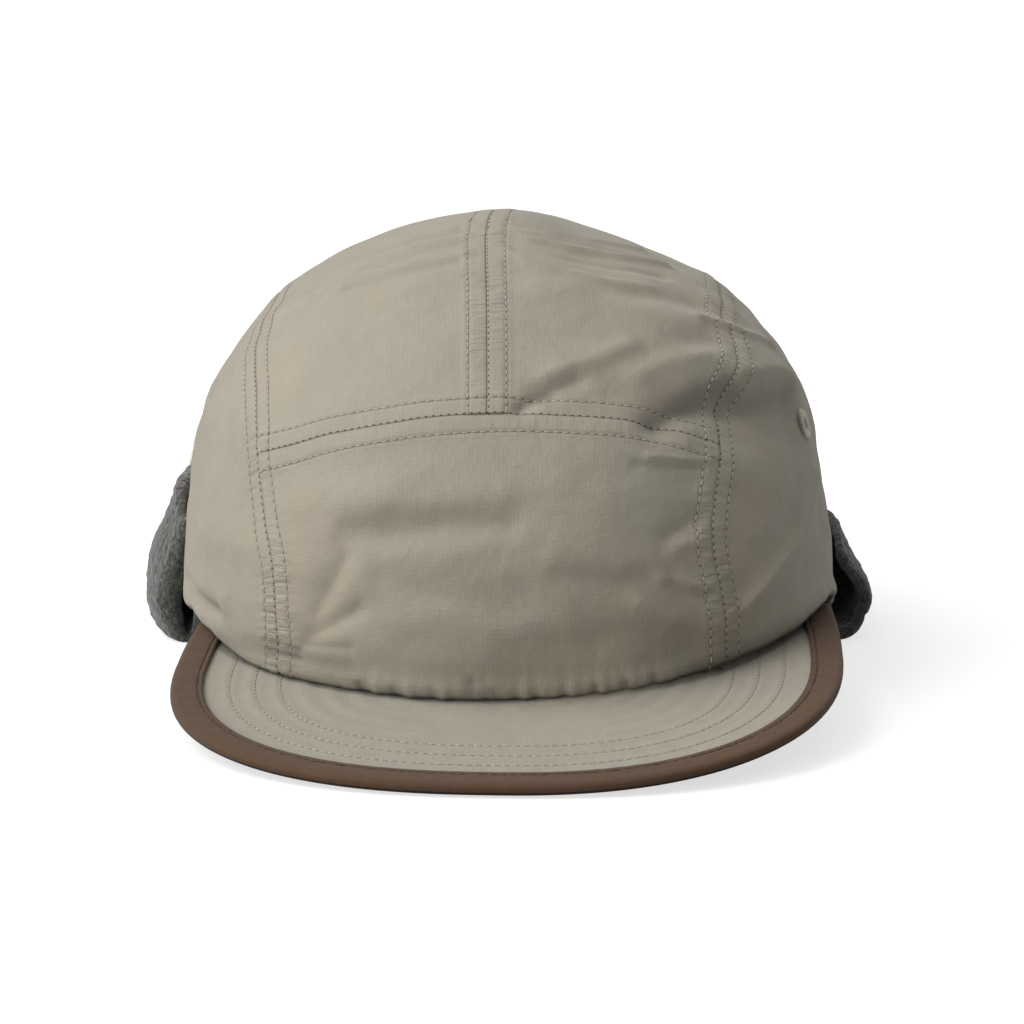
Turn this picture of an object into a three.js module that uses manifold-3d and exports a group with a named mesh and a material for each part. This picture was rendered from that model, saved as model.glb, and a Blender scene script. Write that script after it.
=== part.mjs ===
// A five-panel duckbill cap of thin nylon with a fleece ear flap folded up around the sides and back.
// It rests as it would on a table: on the front edge of its short brim and on the fold of the ear flap.
// Millimetres, +Z up. The brim points to -Y and the table is z = 0.
import * as THREE from "three";
import { mergeVertices } from "three/addons/utils/BufferGeometryUtils.js";
import Module from "manifold-3d";

// Cloth, and the gaps between sewn pieces.
const CROWN_CLOTH = 1.2;
const SEAM_GAP = 0.35;
const PIECE_GAP = 0.4;
const BLUNT_END = 1.6;

// Angles, in degrees, between which the front rim and the back rim are looked for.
const FRONT_RIM_ANGLES = [0, 40];
const BACK_RIM_ANGLES = [180, 140];
const SIDE_RIM_ANGLES = [0, 30];

// The crown's outline at each height above the table: how far it reaches from the crown's axis to each
// side, and how square it is (2 is an ellipse). The last row is the top of the crown.
const CROWN_SECTIONS = [
  { height: 2, left: 87.5, right: 86, front: 96, back: 97, square: 2.3 },
  { height: 15, left: 88.7, right: 87, front: 97.5, back: 99.5, square: 2.3 },
  { height: 30, left: 88.6, right: 86.5, front: 97.5, back: 101, square: 2.3 },
  { height: 45, left: 87.3, right: 84.2, front: 94.5, back: 100, square: 2.3 },
  { height: 58, left: 84.7, right: 82, front: 89.5, back: 96.5, square: 2.3 },
  { height: 70, left: 81.6, right: 78.8, front: 83, back: 90.5, square: 2.3 },
  { height: 81, left: 75.2, right: 72.8, front: 74.5, back: 82, square: 2.25 },
  { height: 91, left: 67.4, right: 64.6, front: 63.5, back: 72, square: 2.2 },
  { height: 100, left: 57.6, right: 54, front: 51.5, back: 60.5, square: 2.15 },
  { height: 108, left: 43.8, right: 36.6, front: 38.5, back: 47, square: 2.1 },
  { height: 114, left: 28.6, right: 18.6, front: 24.5, back: 31, square: 2.05 },
  { height: 119, left: 0, right: 0, front: 0, back: 0, square: 2 },
];

// Where the seams run, by the angle that turns about a line from side to side: 0 is the front rim,
// 90 the top of the crown and 180 the back rim. The numbers are distances from the crown's middle.
const SEAM_ROUTES = [
  { angle: 0, left: -59.5, centre: -6, right: 54 },
  { angle: 20, left: -61.5, centre: -6, right: 52 },
  { angle: 40, left: -65.5, centre: -6.3, right: 53 },
  { angle: 50, left: -66.8, centre: -6.5, right: 55.5 },
  { angle: 60, left: -67, centre: -6.3, right: 58.5 },
  { angle: 75, left: -65.5, centre: -6, right: 57.5 },
  { angle: 95, left: -63.5, centre: -5, right: 57 },
  { angle: 120, left: -60, centre: -3.5, right: 55 },
  { angle: 150, left: -53, centre: -2, right: 50 },
  { angle: 180, left: -44, centre: 0, right: 44 },
];

// The seam across the front, between the lower front panel and the two upper panels.
const BROW_SEAM = [
  { across: -1, angle: 45 },
  { across: 0, angle: 45.6 },
  { across: 1, angle: 42.5 },
];
const BROW_ANGLE = 45;
const BROW_REACH = 105;
const FRONT_PANEL_ANGLE = 25;

// Dents and swells of the soft crown, each along a line between two places [x, y, z].
// A positive rise stands out and a negative one sinks in.
const CROWN_FOLDS = [
  { from: [56, -66, 76], to: [74, -38, 68], width: 9, rise: -3.2 },
  { from: [58, -52, 88], to: [70, -22, 84], width: 8, rise: 1.6 },
  { from: [26, -74, 80], to: [52, -62, 74], width: 9, rise: -1.6 },
  { from: [-84, -24, 20], to: [-76, -48, 13], width: 5, rise: -2.6 },
  { from: [-46, -84, 20], to: [-8, -95, 17], width: 8, rise: 1.2 },
];

// The brim's board: the height of its middle at the front edge, how it climbs towards the crown, leans
// sideways and curls up at its right side. The whole brim is turned a little and moved sideways.
const BRIM_BOARD = 1;
const BRIM_FRONT = 155.8;
const BRIM_MIDDLE_AT_FRONT = 1.95;
const BRIM_SLOPE = 0.108;
const BRIM_LEAN = 0.007;
const BRIM_CURL = 5.1;
const BRIM_TURN = 3.15;
const BRIM_MIDDLE_X = 3.1;
const BRIM_TUCK = 4;
// The brim's outline: its widest place, how far it reaches there, how square its corners are, and its tips.
const BRIM_WIDEST_Y = -76.5;
const BRIM_HALF_WIDTH = 85.9;
const BRIM_SQUARE = 2.4;
const BRIM_TIP_Y = -33;
const BRIM_TIP_HALF_WIDTH = 84.5;
const BRIM_BEND_Y = -58;
const BRIM_ROUND_POINTS = 120;
// Its inner edge follows the crown, at this angle up, and narrows towards the front by this share.
const BRIM_INNER_ANGLE = 6;
const BRIM_INNER_SHARE = 0.93;
const BRIM_INNER_FRONT_Y = -98;

// The brown tape that wraps the brim's edge.
const TAPE = 1;
const TAPE_GAP = 0.3;
const TAPE_WIDTH = 8.3;
const TAPE_ROOM = 1.2;
// The tape runs under the crown's rim between these places, and lifts it.
const TAPE_UNDER_RIM = { from: -72, to: -56 };

// The ear flap: one strip of fleece sewn inside the rim, folded out and up. Each row is a place around
// the rim, in degrees from the front, with the height of the flap's free edge at each side.
const FLAP_CLOTH = 3.2;
const FLAP_FROM = 93;
const FLAP_FOLD_RADIUS = 5.95;
const FLAP_FOLD_OUT = 2.35;
const FLAP_INSIDE = 24;
const FLAP_HEIGHTS = [
  { around: 93, left: 33, right: 23 },
  { around: 97, left: 39, right: 27 },
  { around: 103, left: 42, right: 28.5 },
  { around: 115, left: 43, right: 31 },
  { around: 135, left: 46, right: 38 },
  { around: 160, left: 49, right: 48 },
  { around: 180, left: 50, right: 50 },
];
const FLAP_BULGE = 1.6;
const FLAP_EDGE_GAP = 1.2;
const FLAP_TURN_STEP = 22.5;
const FLAP_RISE_SHARES = [0.2, 0.45, 0.72, 1];

// The rim leaves the brim between these places, and is level behind them.
const BACK_RIM = 16;
const RIM_LEAN = 0.03;
const RIM_LEVELS_OUT = { from: -30, to: 50 };

// The sewn eyelets, one in each side panel: around is in degrees from the front.
const EYELETS = [
  { name: "eyelet_left", side: -1, around: 84, height: 56 },
  { name: "eyelet_right", side: 1, around: 79, height: 61 },
];
const EYELET_OUTER = 4;
const EYELET_INNER = 1.9;
const EYELET_THICK = 2.2;
const EYELET_ROUNDING = 0.5;

// How finely each wall is divided.
const FINE = { frontAcross: 20, frontUp: 9, topAcross: 9, topOver: 26, sideAround: 26, sideUp: 8 };
const BRIM_STEPS = 40;
const FLAP_STEPS = 30;
const EYELET_SIDES = 20;
const SECTION_SAMPLES = 480;
const HALVINGS = 30;
const FAR_OUTSIDE = 220;
const MERGE_WITHIN = 1e-4;

const LOOKS = {
  shell: new THREE.MeshStandardMaterial({ color: 0x9d978a, roughness: 0.75, metalness: 0 }),
  tape: new THREE.MeshStandardMaterial({ color: 0x644f3f, roughness: 0.8, metalness: 0 }),
  fleece: new THREE.MeshStandardMaterial({ color: 0x6c6d6c, roughness: 1, metalness: 0 }),
  thread: new THREE.MeshStandardMaterial({ color: 0xa7a295, roughness: 0.7, metalness: 0 }),
};

const radians = THREE.MathUtils.degToRad;
const degrees = THREE.MathUtils.radToDeg;
const { lerp, smoothstep } = THREE.MathUtils;

// A smooth curve through rows of a table: column as a function of key.
function alongTable(rows, key, column, at) {
  const last = rows.length - 1;
  const x = Math.min(Math.max(at, rows[0][key]), rows[last][key]);
  let i = 0;
  while (i < last - 1 && x > rows[i + 1][key]) i += 1;
  const slope = (k) => {
    const before = rows[Math.max(k - 1, 0)];
    const after = rows[Math.min(k + 1, last)];
    return (after[column] - before[column]) / (after[key] - before[key]);
  };
  const span = rows[i + 1][key] - rows[i][key];
  const t = (x - rows[i][key]) / span;
  const [a, b] = [rows[i][column], rows[i + 1][column]];
  return (
    (2 * t ** 3 - 3 * t ** 2 + 1) * a + (t ** 3 - 2 * t ** 2 + t) * span * slope(i) +
    (-2 * t ** 3 + 3 * t ** 2) * b + (t ** 3 - t ** 2) * span * slope(i + 1)
  );
}

// The crown's sections, sampled finely from the rim to the top. A mirrored row past the top rounds it.
function fineSections() {
  const below = CROWN_SECTIONS[CROWN_SECTIONS.length - 2];
  const mirrored = { height: below.height, square: below.square };
  for (const side of ["left", "right", "front", "back"]) mirrored[side] = -below[side];
  const rows = [...CROWN_SECTIONS, mirrored].map((row, step) => ({ ...row, step }));
  const top = CROWN_SECTIONS.length - 1;
  return Array.from({ length: SECTION_SAMPLES + 1 }, (_, i) => {
    const made = {};
    for (const column of Object.keys(CROWN_SECTIONS[0]))
      made[column] = alongTable(rows, "step", column, (top * i) / SECTION_SAMPLES);
    return made;
  });
}
const SECTIONS = fineSections();
const CROWN_TOP = SECTIONS[SECTIONS.length - 1].height;

// The section at a height, between two of the fine ones.
function sectionAt(height) {
  let [low, high] = [0, SECTIONS.length - 1];
  while (high - low > 1) {
    const middle = (low + high) >> 1;
    if (SECTIONS[middle].height > height) high = middle;
    else low = middle;
  }
  const [a, b] = [SECTIONS[low], SECTIONS[high]];
  const t = THREE.MathUtils.clamp((height - a.height) / (b.height - a.height), 0, 1);
  const made = {};
  for (const column of Object.keys(a)) made[column] = lerp(a[column], b[column], t);
  return made;
}

// Below zero inside the smooth crown, above zero outside it.
function crownField(p) {
  if (p.z >= CROWN_TOP) return 1;
  const s = sectionAt(p.z);
  const across = Math.abs(p.x) / Math.max(p.x < 0 ? s.left : s.right, 1e-3);
  const along = Math.abs(p.y) / Math.max(p.y < 0 ? s.front : s.back, 1e-3);
  return across ** s.square + along ** s.square - 1;
}

// The outward direction at a place on the smooth crown.
function crownNormal(p) {
  const step = 0.5;
  const slope = (x, y, z) =>
    crownField(new THREE.Vector3(p.x + x, p.y + y, p.z + z)) -
    crownField(new THREE.Vector3(p.x - x, p.y - y, p.z - z));
  if (p.z > CROWN_TOP - 3 * step) return new THREE.Vector3(0, 0, 1);
  return new THREE.Vector3(slope(step, 0, 0), slope(0, step, 0), slope(0, 0, step)).normalize();
}

// How far the crown's folds lift or sink the cloth at a place.
function foldRise(p) {
  let rise = 0;
  for (const fold of CROWN_FOLDS) {
    const line = new THREE.Line3(new THREE.Vector3(...fold.from), new THREE.Vector3(...fold.to));
    const near = line.closestPointToPoint(p, true, new THREE.Vector3());
    rise += fold.rise * Math.exp(-((near.distanceTo(p) / fold.width) ** 2));
  }
  return rise;
}

// Where a ray from inside the smooth crown leaves it.
function leaveCrown(origin, direction) {
  let [low, high] = [0, FAR_OUTSIDE];
  for (let i = 0; i < HALVINGS + 10; i += 1) {
    const middle = (low + high) / 2;
    const p = origin.clone().addScaledVector(direction, middle);
    if (crownField(p) < 0) low = middle;
    else high = middle;
  }
  return origin.clone().addScaledVector(direction, low);
}

// The crown at a distance x from its middle and an angle over the top.
function overCrown(x, angle) {
  const a = radians(angle);
  return leaveCrown(new THREE.Vector3(x, 0, 0), new THREE.Vector3(0, -Math.cos(a), Math.sin(a)));
}

// The crown at an angle around from the front, towards +X, and an angle up from the table.
function aroundCrown(around, up) {
  const [a, u] = [radians(around), radians(up)];
  const flat = Math.cos(u);
  const direction = new THREE.Vector3(Math.sin(a) * flat, -Math.cos(a) * flat, Math.sin(u));
  return leaveCrown(new THREE.Vector3(), direction);
}

// The height of the middle of the brim's board.
function brimMiddle(x, y) {
  const curl = BRIM_CURL * (Math.max(x, 0) / BRIM_HALF_WIDTH) ** 2;
  return BRIM_MIDDLE_AT_FRONT + BRIM_SLOPE * (y + BRIM_FRONT) + BRIM_LEAN * x + curl;
}

// The lower edge of the crown: on the brim in front, level around the back.
function rimHeight(x, y) {
  const level = BACK_RIM + RIM_LEAN * x;
  const onBoard = brimMiddle(x, y) + BRIM_BOARD / 2 + PIECE_GAP;
  const overTape = (TAPE + TAPE_GAP) * smoothstep(y, TAPE_UNDER_RIM.from, TAPE_UNDER_RIM.to);
  return lerp(onBoard + overTape, level, smoothstep(y, RIM_LEVELS_OUT.from, RIM_LEVELS_OUT.to));
}

// The angle at which a line over or up the crown meets its rim, or a height above it. The two angles
// given are one outside the rim and one inside it.
function rimAngle(pointAt, [outside, inside], above = 0) {
  let [low, high] = [outside, inside];
  for (let i = 0; i < HALVINGS; i += 1) {
    const middle = (low + high) / 2;
    const p = pointAt(middle);
    if (p.z < rimHeight(p.x, p.y) + above) low = middle;
    else high = middle;
  }
  return high;
}

// A closed wall between two grids of points that face each other, outer and inner.
function wall(outer, inner) {
  const rows = outer.length;
  const columns = outer[0].length;
  const points = [...outer.flat(), ...inner.flat()];
  const at = (side, r, c) => side * rows * columns + r * columns + c;
  const index = [];
  const quad = (a, b, c, d) => index.push(a, b, c, a, c, d);
  for (let r = 0; r < rows - 1; r += 1)
    for (let c = 0; c < columns - 1; c += 1) {
      quad(at(0, r, c), at(0, r, c + 1), at(0, r + 1, c + 1), at(0, r + 1, c));
      quad(at(1, r, c), at(1, r + 1, c), at(1, r + 1, c + 1), at(1, r, c + 1));
    }
  for (let c = 0; c < columns - 1; c += 1) {
    quad(at(1, 0, c), at(1, 0, c + 1), at(0, 0, c + 1), at(0, 0, c));
    quad(at(0, rows - 1, c), at(0, rows - 1, c + 1), at(1, rows - 1, c + 1), at(1, rows - 1, c));
  }
  for (let r = 0; r < rows - 1; r += 1) {
    quad(at(0, r, 0), at(0, r + 1, 0), at(1, r + 1, 0), at(1, r, 0));
    quad(at(1, r, columns - 1), at(1, r + 1, columns - 1), at(0, r + 1, columns - 1), at(0, r, columns - 1));
  }
  const geometry = new THREE.BufferGeometry().setFromPoints(points);
  geometry.setIndex(index);
  return facingOut(geometry);
}

// Turns a closed geometry's faces outwards, if its volume comes out below zero.
function facingOut(geometry) {
  const p = geometry.getAttribute("position");
  const index = geometry.getIndex().array;
  const [a, b, c] = [new THREE.Vector3(), new THREE.Vector3(), new THREE.Vector3()];
  let volume = 0;
  for (let i = 0; i < index.length; i += 3) {
    [a, b, c].forEach((v, k) => v.fromBufferAttribute(p, index[i + k]));
    volume += a.dot(b.cross(c));
  }
  if (volume < 0) geometry.setIndex(Array.from(index).reverse());
  return geometry;
}

// Rows of points from two counts and a function of two shares from 0 to 1.
function grid(rows, columns, pointAt) {
  return Array.from({ length: rows + 1 }, (_, r) =>
    Array.from({ length: columns + 1 }, (__, c) => pointAt(r / rows, c / columns)),
  );
}

// A crown panel: the folded outer cloth and the same surface one cloth thickness further in.
function panel(rows, columns, pointAt) {
  const smooth = grid(rows, columns, pointAt);
  const moved = (depth) =>
    smooth.map((row) => row.map((p) => p.clone().addScaledVector(crownNormal(p), foldRise(p) - depth)));
  return wall(moved(0), moved(CROWN_CLOTH));
}

const seamAt = (side, angle) => alongTable(SEAM_ROUTES, "angle", side, angle);

function browAngle(x) {
  const [left, right] = [seamAt("left", BROW_ANGLE), seamAt("right", BROW_ANGLE)];
  return alongTable(BROW_SEAM, "across", "angle", (2 * (x - left)) / (right - left) - 1);
}

// The lower front panel, from the brim up to the brow seam.
function frontPanel() {
  const gap = SEAM_GAP / 2;
  const turn = degrees(gap / BROW_REACH);
  return panel(FINE.frontUp, FINE.frontAcross, (up, across) => {
    const guess = lerp(seamAt("left", FRONT_PANEL_ANGLE), seamAt("right", FRONT_PANEL_ANGLE), across);
    const foot = rimAngle((angle) => overCrown(guess, angle), FRONT_RIM_ANGLES);
    const angle = lerp(foot, browAngle(guess) - turn, up);
    const x = lerp(seamAt("left", angle) + gap, seamAt("right", angle) - gap, across);
    return overCrown(x, Math.max(angle, rimAngle((a) => overCrown(x, a), FRONT_RIM_ANGLES)));
  });
}

// One of the two upper panels, from the brow seam over the top to the back rim.
function upperPanel(side) {
  const gap = SEAM_GAP / 2;
  const turn = degrees(gap / BROW_REACH);
  const [from, to] = side < 0 ? ["left", "centre"] : ["centre", "right"];
  return panel(FINE.topOver, FINE.topAcross, (over, across) => {
    const xAt = (angle) => lerp(seamAt(from, angle) + gap, seamAt(to, angle) - gap, across);
    const start = browAngle(xAt(BROW_ANGLE)) + turn;
    const end = rimAngle((angle) => overCrown(xAt(angle), angle), BACK_RIM_ANGLES);
    const angle = lerp(start, end, over);
    return overCrown(xAt(angle), angle);
  });
}

// One of the two side panels, from the rim up to its long arched seam.
function sidePanel(side) {
  const seam = side < 0 ? "left" : "right";
  const onSeam = (angle) => overCrown(seamAt(seam, angle), angle);
  const ends = [FRONT_RIM_ANGLES, BACK_RIM_ANGLES].map((pair) => rimAngle(onSeam, pair, BLUNT_END));
  return panel(FINE.sideUp, FINE.sideAround, (up, around) => {
    const angle = lerp(ends[0], ends[1], around);
    const top = overCrown(seamAt(seam, angle) + (side * SEAM_GAP) / 2, angle);
    const turn = degrees(Math.atan2(top.x, -top.y));
    const topUp = degrees(Math.atan2(top.z, Math.hypot(top.x, top.y)));
    const foot = rimAngle((a) => aroundCrown(turn, a), SIDE_RIM_ANGLES);
    return aroundCrown(turn, lerp(foot, topUp, up));
  });
}

// The rounded front of the brim's edge, from its widest place on the left to that on the right.
function brimFront(share) {
  const turn = radians(lerp(-90, 90, share));
  const power = 2 / BRIM_SQUARE;
  const x = BRIM_HALF_WIDTH * Math.sign(Math.sin(turn)) * Math.abs(Math.sin(turn)) ** power;
  const reach = BRIM_FRONT + BRIM_WIDEST_Y;
  return new THREE.Vector2(x, BRIM_WIDEST_Y - reach * Math.abs(Math.cos(turn)) ** power);
}

// The whole edge with its two sides, as points evenly spread along it, drawn in by inset.
function brimOutline(inset) {
  const path = new THREE.Path();
  const besideTip = lerp(BRIM_TIP_HALF_WIDTH, BRIM_HALF_WIDTH, 0.75);
  const front = Array.from({ length: BRIM_ROUND_POINTS + 1 }, (_, i) => brimFront(i / BRIM_ROUND_POINTS));
  path.moveTo(-BRIM_TIP_HALF_WIDTH, BRIM_TIP_Y);
  path.splineThru([new THREE.Vector2(-besideTip, BRIM_BEND_Y), front[0]]);
  front.slice(1).forEach((p) => path.lineTo(p.x, p.y));
  path.splineThru([
    new THREE.Vector2(besideTip, BRIM_BEND_Y),
    new THREE.Vector2(BRIM_TIP_HALF_WIDTH, BRIM_TIP_Y),
  ]);
  const edge = path.getSpacedPoints(BRIM_STEPS);
  return edge.map((p, i) => {
    const before = edge[Math.max(i - 1, 0)];
    const after = edge[Math.min(i + 1, BRIM_STEPS)];
    const along = after.clone().sub(before).normalize();
    const drawnIn = new THREE.Vector2(p.x - along.y * inset, p.y + along.x * inset);
    const turned = drawnIn.rotateAround(new THREE.Vector2(), -radians(BRIM_TURN));
    return turned.setX(turned.x + BRIM_MIDDLE_X);
  });
}

// Where the brim's inner edge lies, tucked under the rim, on the way from an outer point inwards.
function underRim(outer, tuck) {
  const x = outer.x * BRIM_INNER_SHARE;
  const around = degrees(Math.atan2(x, -Math.max(outer.y, BRIM_INNER_FRONT_Y)));
  const p = aroundCrown(around, BRIM_INNER_ANGLE);
  const inward = new THREE.Vector2(p.x, p.y);
  return inward.setLength(inward.length() - tuck);
}

// The brim: a stiff board covered in the same cloth, from its tuck under the rim to just inside the tape.
function brim() {
  const outline = brimOutline(TAPE + TAPE_ROOM);
  const side = (lift) =>
    outline.map((edge) => {
      const inner = underRim(edge, BRIM_TUCK);
      return [0, 1 / 3, 2 / 3, 1].map((share) => {
        const x = lerp(inner.x, edge.x, share);
        const y = lerp(inner.y, edge.y, share);
        return new THREE.Vector3(x, y, brimMiddle(x, y) + lift);
      });
    });
  return wall(side(BRIM_BOARD / 2), side(-BRIM_BOARD / 2));
}

// The tape: a U-shaped strip around the brim's edge, with the brim's board inside it.
function brimTape() {
  const inside = BRIM_BOARD / 2 + TAPE_GAP;
  const outside = inside + TAPE;
  // Across the tape: how far in from the edge, and how high above the board's middle.
  const across = (half, edge) => [
    [TAPE_WIDTH, half],
    [TAPE_WIDTH * 0.5, half],
    [edge + half * 0.9, half],
    [edge + half * 0.3, half * 0.7],
    [edge, 0],
    [edge + half * 0.3, -half * 0.7],
    [edge + half * 0.9, -half],
    [TAPE_WIDTH * 0.5, -half],
    [TAPE_WIDTH, -half],
  ];
  const side = (half, edge) => {
    const lines = across(half, edge).map(([inset, lift]) =>
      brimOutline(inset).map((p) => new THREE.Vector3(p.x, p.y, brimMiddle(p.x, p.y) + lift)),
    );
    return lines[0].map((_, i) => lines.map((line) => line[i]));
  };
  return wall(side(outside, 0), side(inside, TAPE));
}

// The middle line of the ear flap's cloth at a place around the rim: out from the crown, and up.
function flapLine(around, side) {
  const height = alongTable(FLAP_HEIGHTS, "around", side < 0 ? "left" : "right", around);
  const floor = FLAP_CLOTH / 2;
  const centre = floor + FLAP_FOLD_RADIUS;
  const inner = FLAP_FOLD_OUT - FLAP_FOLD_RADIUS;
  const line = [[inner, FLAP_INSIDE], [inner, BACK_RIM]];
  for (let turn = 180; turn <= 360; turn += FLAP_TURN_STEP) {
    const a = radians(turn);
    const out = FLAP_FOLD_OUT + FLAP_FOLD_RADIUS * Math.cos(a);
    const flat = Math.abs(turn - 270) <= FLAP_TURN_STEP;
    line.push([out, flat ? floor : centre + FLAP_FOLD_RADIUS * Math.sin(a)]);
  }
  const widest = FLAP_FOLD_OUT + FLAP_FOLD_RADIUS;
  const closest = FLAP_CLOTH / 2 + FLAP_EDGE_GAP;
  for (const share of FLAP_RISE_SHARES) {
    const bulge = FLAP_BULGE * Math.sin(Math.PI * Math.min(share * 1.15, 1));
    line.push([lerp(widest, closest, share ** 1.5) + bulge, lerp(centre, height, share)]);
  }
  return line;
}

// A place beside the crown's wall at a height, moved level with the table, outwards or inwards.
function besideCrown(around, out, height) {
  const level = Math.max(height, BACK_RIM);
  let [low, high] = [0, 70];
  for (let i = 0; i < HALVINGS; i += 1) {
    const middle = (low + high) / 2;
    if (aroundCrown(around, middle).z < level) low = middle;
    else high = middle;
  }
  const wallPoint = aroundCrown(around, high);
  const flat = new THREE.Vector2(wallPoint.x, wallPoint.y);
  flat.setLength(flat.length() + out);
  return new THREE.Vector3(flat.x, flat.y, height);
}

// The ear flap, from one temple round the back to the other.
function earFlap() {
  const lineAt = (share) => {
    const turn = lerp(FLAP_FROM, 360 - FLAP_FROM, share);
    const side = turn <= 180 ? 1 : -1;
    const line = flapLine(side > 0 ? turn : 360 - turn, side);
    const offset = (sign) =>
      line.map(([out, height], i) => {
        const before = line[Math.max(i - 1, 0)];
        const after = line[Math.min(i + 1, line.length - 1)];
        const along = new THREE.Vector2(after[0] - before[0], after[1] - before[1]).normalize();
        const shift = (sign * FLAP_CLOTH) / 2;
        const low = height - along.x * shift;
        const settled = sign > 0 && Math.abs(height - FLAP_CLOTH / 2) < MERGE_WITHIN ? 0 : low;
        return besideCrown(turn, out + along.y * shift, settled);
      });
    return [offset(1), offset(-1)];
  };
  const lines = Array.from({ length: FLAP_STEPS + 1 }, (_, i) => lineAt(i / FLAP_STEPS));
  return wall(lines.map((pair) => pair[0]), lines.map((pair) => pair[1]));
}

// The place and outward direction of an eyelet.
function eyeletSeat({ side, around, height }) {
  const p = besideCrown(side * around, 0, height);
  return { p, out: crownNormal(p) };
}

// A geometry moved so that its +Y axis points out of the crown at an eyelet.
function atEyelet(geometry, eyelet) {
  const { p, out } = eyeletSeat(eyelet);
  const middle = p.clone().addScaledVector(out, -CROWN_CLOTH / 2 + foldRise(p));
  const turn = new THREE.Quaternion().setFromUnitVectors(new THREE.Vector3(0, 1, 0), out);
  return geometry.applyQuaternion(turn).translate(middle.x, middle.y, middle.z);
}

// An eyelet: a round bead of thread around its hole.
function eyeletRing(eyelet) {
  const half = EYELET_THICK / 2;
  const side = half - EYELET_ROUNDING;
  const profile = [
    [EYELET_INNER, -side],
    [EYELET_INNER + EYELET_ROUNDING, -half],
    [EYELET_OUTER - EYELET_ROUNDING, -half],
    [EYELET_OUTER, -side],
    [EYELET_OUTER, side],
    [EYELET_OUTER - EYELET_ROUNDING, half],
    [EYELET_INNER + EYELET_ROUNDING, half],
    [EYELET_INNER, side],
    [EYELET_INNER, -side],
  ].map(([x, y]) => new THREE.Vector2(x, y));
  return atEyelet(new THREE.LatheGeometry(profile, EYELET_SIDES), eyelet);
}

const wasm = await Module();
wasm.setup();

// A geometry as a solid that can be cut, and back.
function solidOf(geometry) {
  const bare = geometry.clone();
  bare.deleteAttribute("normal");
  bare.deleteAttribute("uv");
  const merged = mergeVertices(bare, MERGE_WITHIN);
  return new wasm.Manifold(
    new wasm.Mesh({
      numProp: 3,
      vertProperties: merged.getAttribute("position").array,
      triVerts: new Uint32Array(merged.getIndex().array),
    }),
  );
}

function geometryOf(solid) {
  const mesh = solid.getMesh();
  return new THREE.BufferGeometry()
    .setAttribute("position", new THREE.BufferAttribute(mesh.vertProperties, 3))
    .setIndex(new THREE.BufferAttribute(mesh.triVerts, 1));
}

// A side panel with the round hole that its eyelet sits in.
function piercedSidePanel(eyelet) {
  const radius = EYELET_OUTER + PIECE_GAP;
  const drill = new THREE.CylinderGeometry(radius, radius, 10 * CROWN_CLOTH, EYELET_SIDES);
  return geometryOf(solidOf(sidePanel(eyelet.side)).subtract(solidOf(atEyelet(drill, eyelet))));
}

function piece(name, geometry, look) {
  const mesh = new THREE.Mesh(geometry, look);
  mesh.name = name;
  return mesh;
}

const crown = new THREE.Group();
crown.add(
  piece("front_panel", frontPanel(), LOOKS.shell),
  piece("upper_panel_left", upperPanel(-1), LOOKS.shell),
  piece("upper_panel_right", upperPanel(1), LOOKS.shell),
  piece("side_panel_left", piercedSidePanel(EYELETS[0]), LOOKS.shell),
  piece("side_panel_right", piercedSidePanel(EYELETS[1]), LOOKS.shell),
  ...EYELETS.map((eyelet) => piece(eyelet.name, eyeletRing(eyelet), LOOKS.thread)),
);

const peak = new THREE.Group();
peak.add(piece("brim", brim(), LOOKS.shell), piece("brim_tape", brimTape(), LOOKS.tape));

const cap = new THREE.Group();
cap.add(crown, peak, piece("ear_flap", earFlap(), LOOKS.fleece));

// The part's origin is under the middle of the whole cap, on the table.
const bounds = new THREE.Box3().setFromObject(cap);
const middle = bounds.getCenter(new THREE.Vector3());
cap.position.set(-middle.x, -middle.y, -bounds.min.z);

export default cap;
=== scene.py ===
"""A five-panel duckbill cap of thin ripstop nylon, with a taped brim and a fleece ear flap folded up.

The cap rests as in the photograph, on the front edge of its brim and on the fold of its ear flap. Cloth is
laid out in millimetres about the crown's axis, and each mesh is then placed in metres in the frame.
"""

import logging
import math
from collections.abc import Callable, Sequence
from dataclasses import dataclass, field
from enum import Enum
from typing import NamedTuple

import bmesh
import bpy
import numpy as np
from bmesh.types import BMesh
from bpy.types import Material, Node, NodeSocket, NodeTree, Object
from mathutils import Matrix, Vector


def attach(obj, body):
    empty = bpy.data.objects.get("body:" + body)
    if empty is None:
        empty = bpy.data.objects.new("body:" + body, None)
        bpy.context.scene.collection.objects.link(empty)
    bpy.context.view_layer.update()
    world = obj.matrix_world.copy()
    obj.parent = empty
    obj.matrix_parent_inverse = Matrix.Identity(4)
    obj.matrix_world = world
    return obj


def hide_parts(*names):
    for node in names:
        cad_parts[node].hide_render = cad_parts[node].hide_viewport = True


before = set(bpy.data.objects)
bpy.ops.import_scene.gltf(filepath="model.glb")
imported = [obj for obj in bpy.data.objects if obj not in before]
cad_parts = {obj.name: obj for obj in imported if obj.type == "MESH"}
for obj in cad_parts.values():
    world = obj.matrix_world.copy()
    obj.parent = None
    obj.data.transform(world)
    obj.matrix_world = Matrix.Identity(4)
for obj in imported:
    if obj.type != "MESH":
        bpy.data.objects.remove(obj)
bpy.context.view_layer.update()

log = logging.getLogger("cap")

Array = np.ndarray
Point = tuple[float, float, float]
Pixel = tuple[float, float]
Colour = tuple[float, float, float, float]

MM = 0.001
CROWN_AXIS = (0.8594, 22.606, 0.0)
TINY = 1e-9
SIDEWAYS = np.array([1.0, 0.0, 0.0])


class Side(Enum):
    """The cap's sides as someone facing the brim sees them."""

    LEFT = -1
    RIGHT = 1


class Section(NamedTuple):
    """The crown's outline at one height: its reach to each side, and how square it is."""

    height: float
    left: float
    right: float
    front: float
    back: float
    square: float


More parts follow.
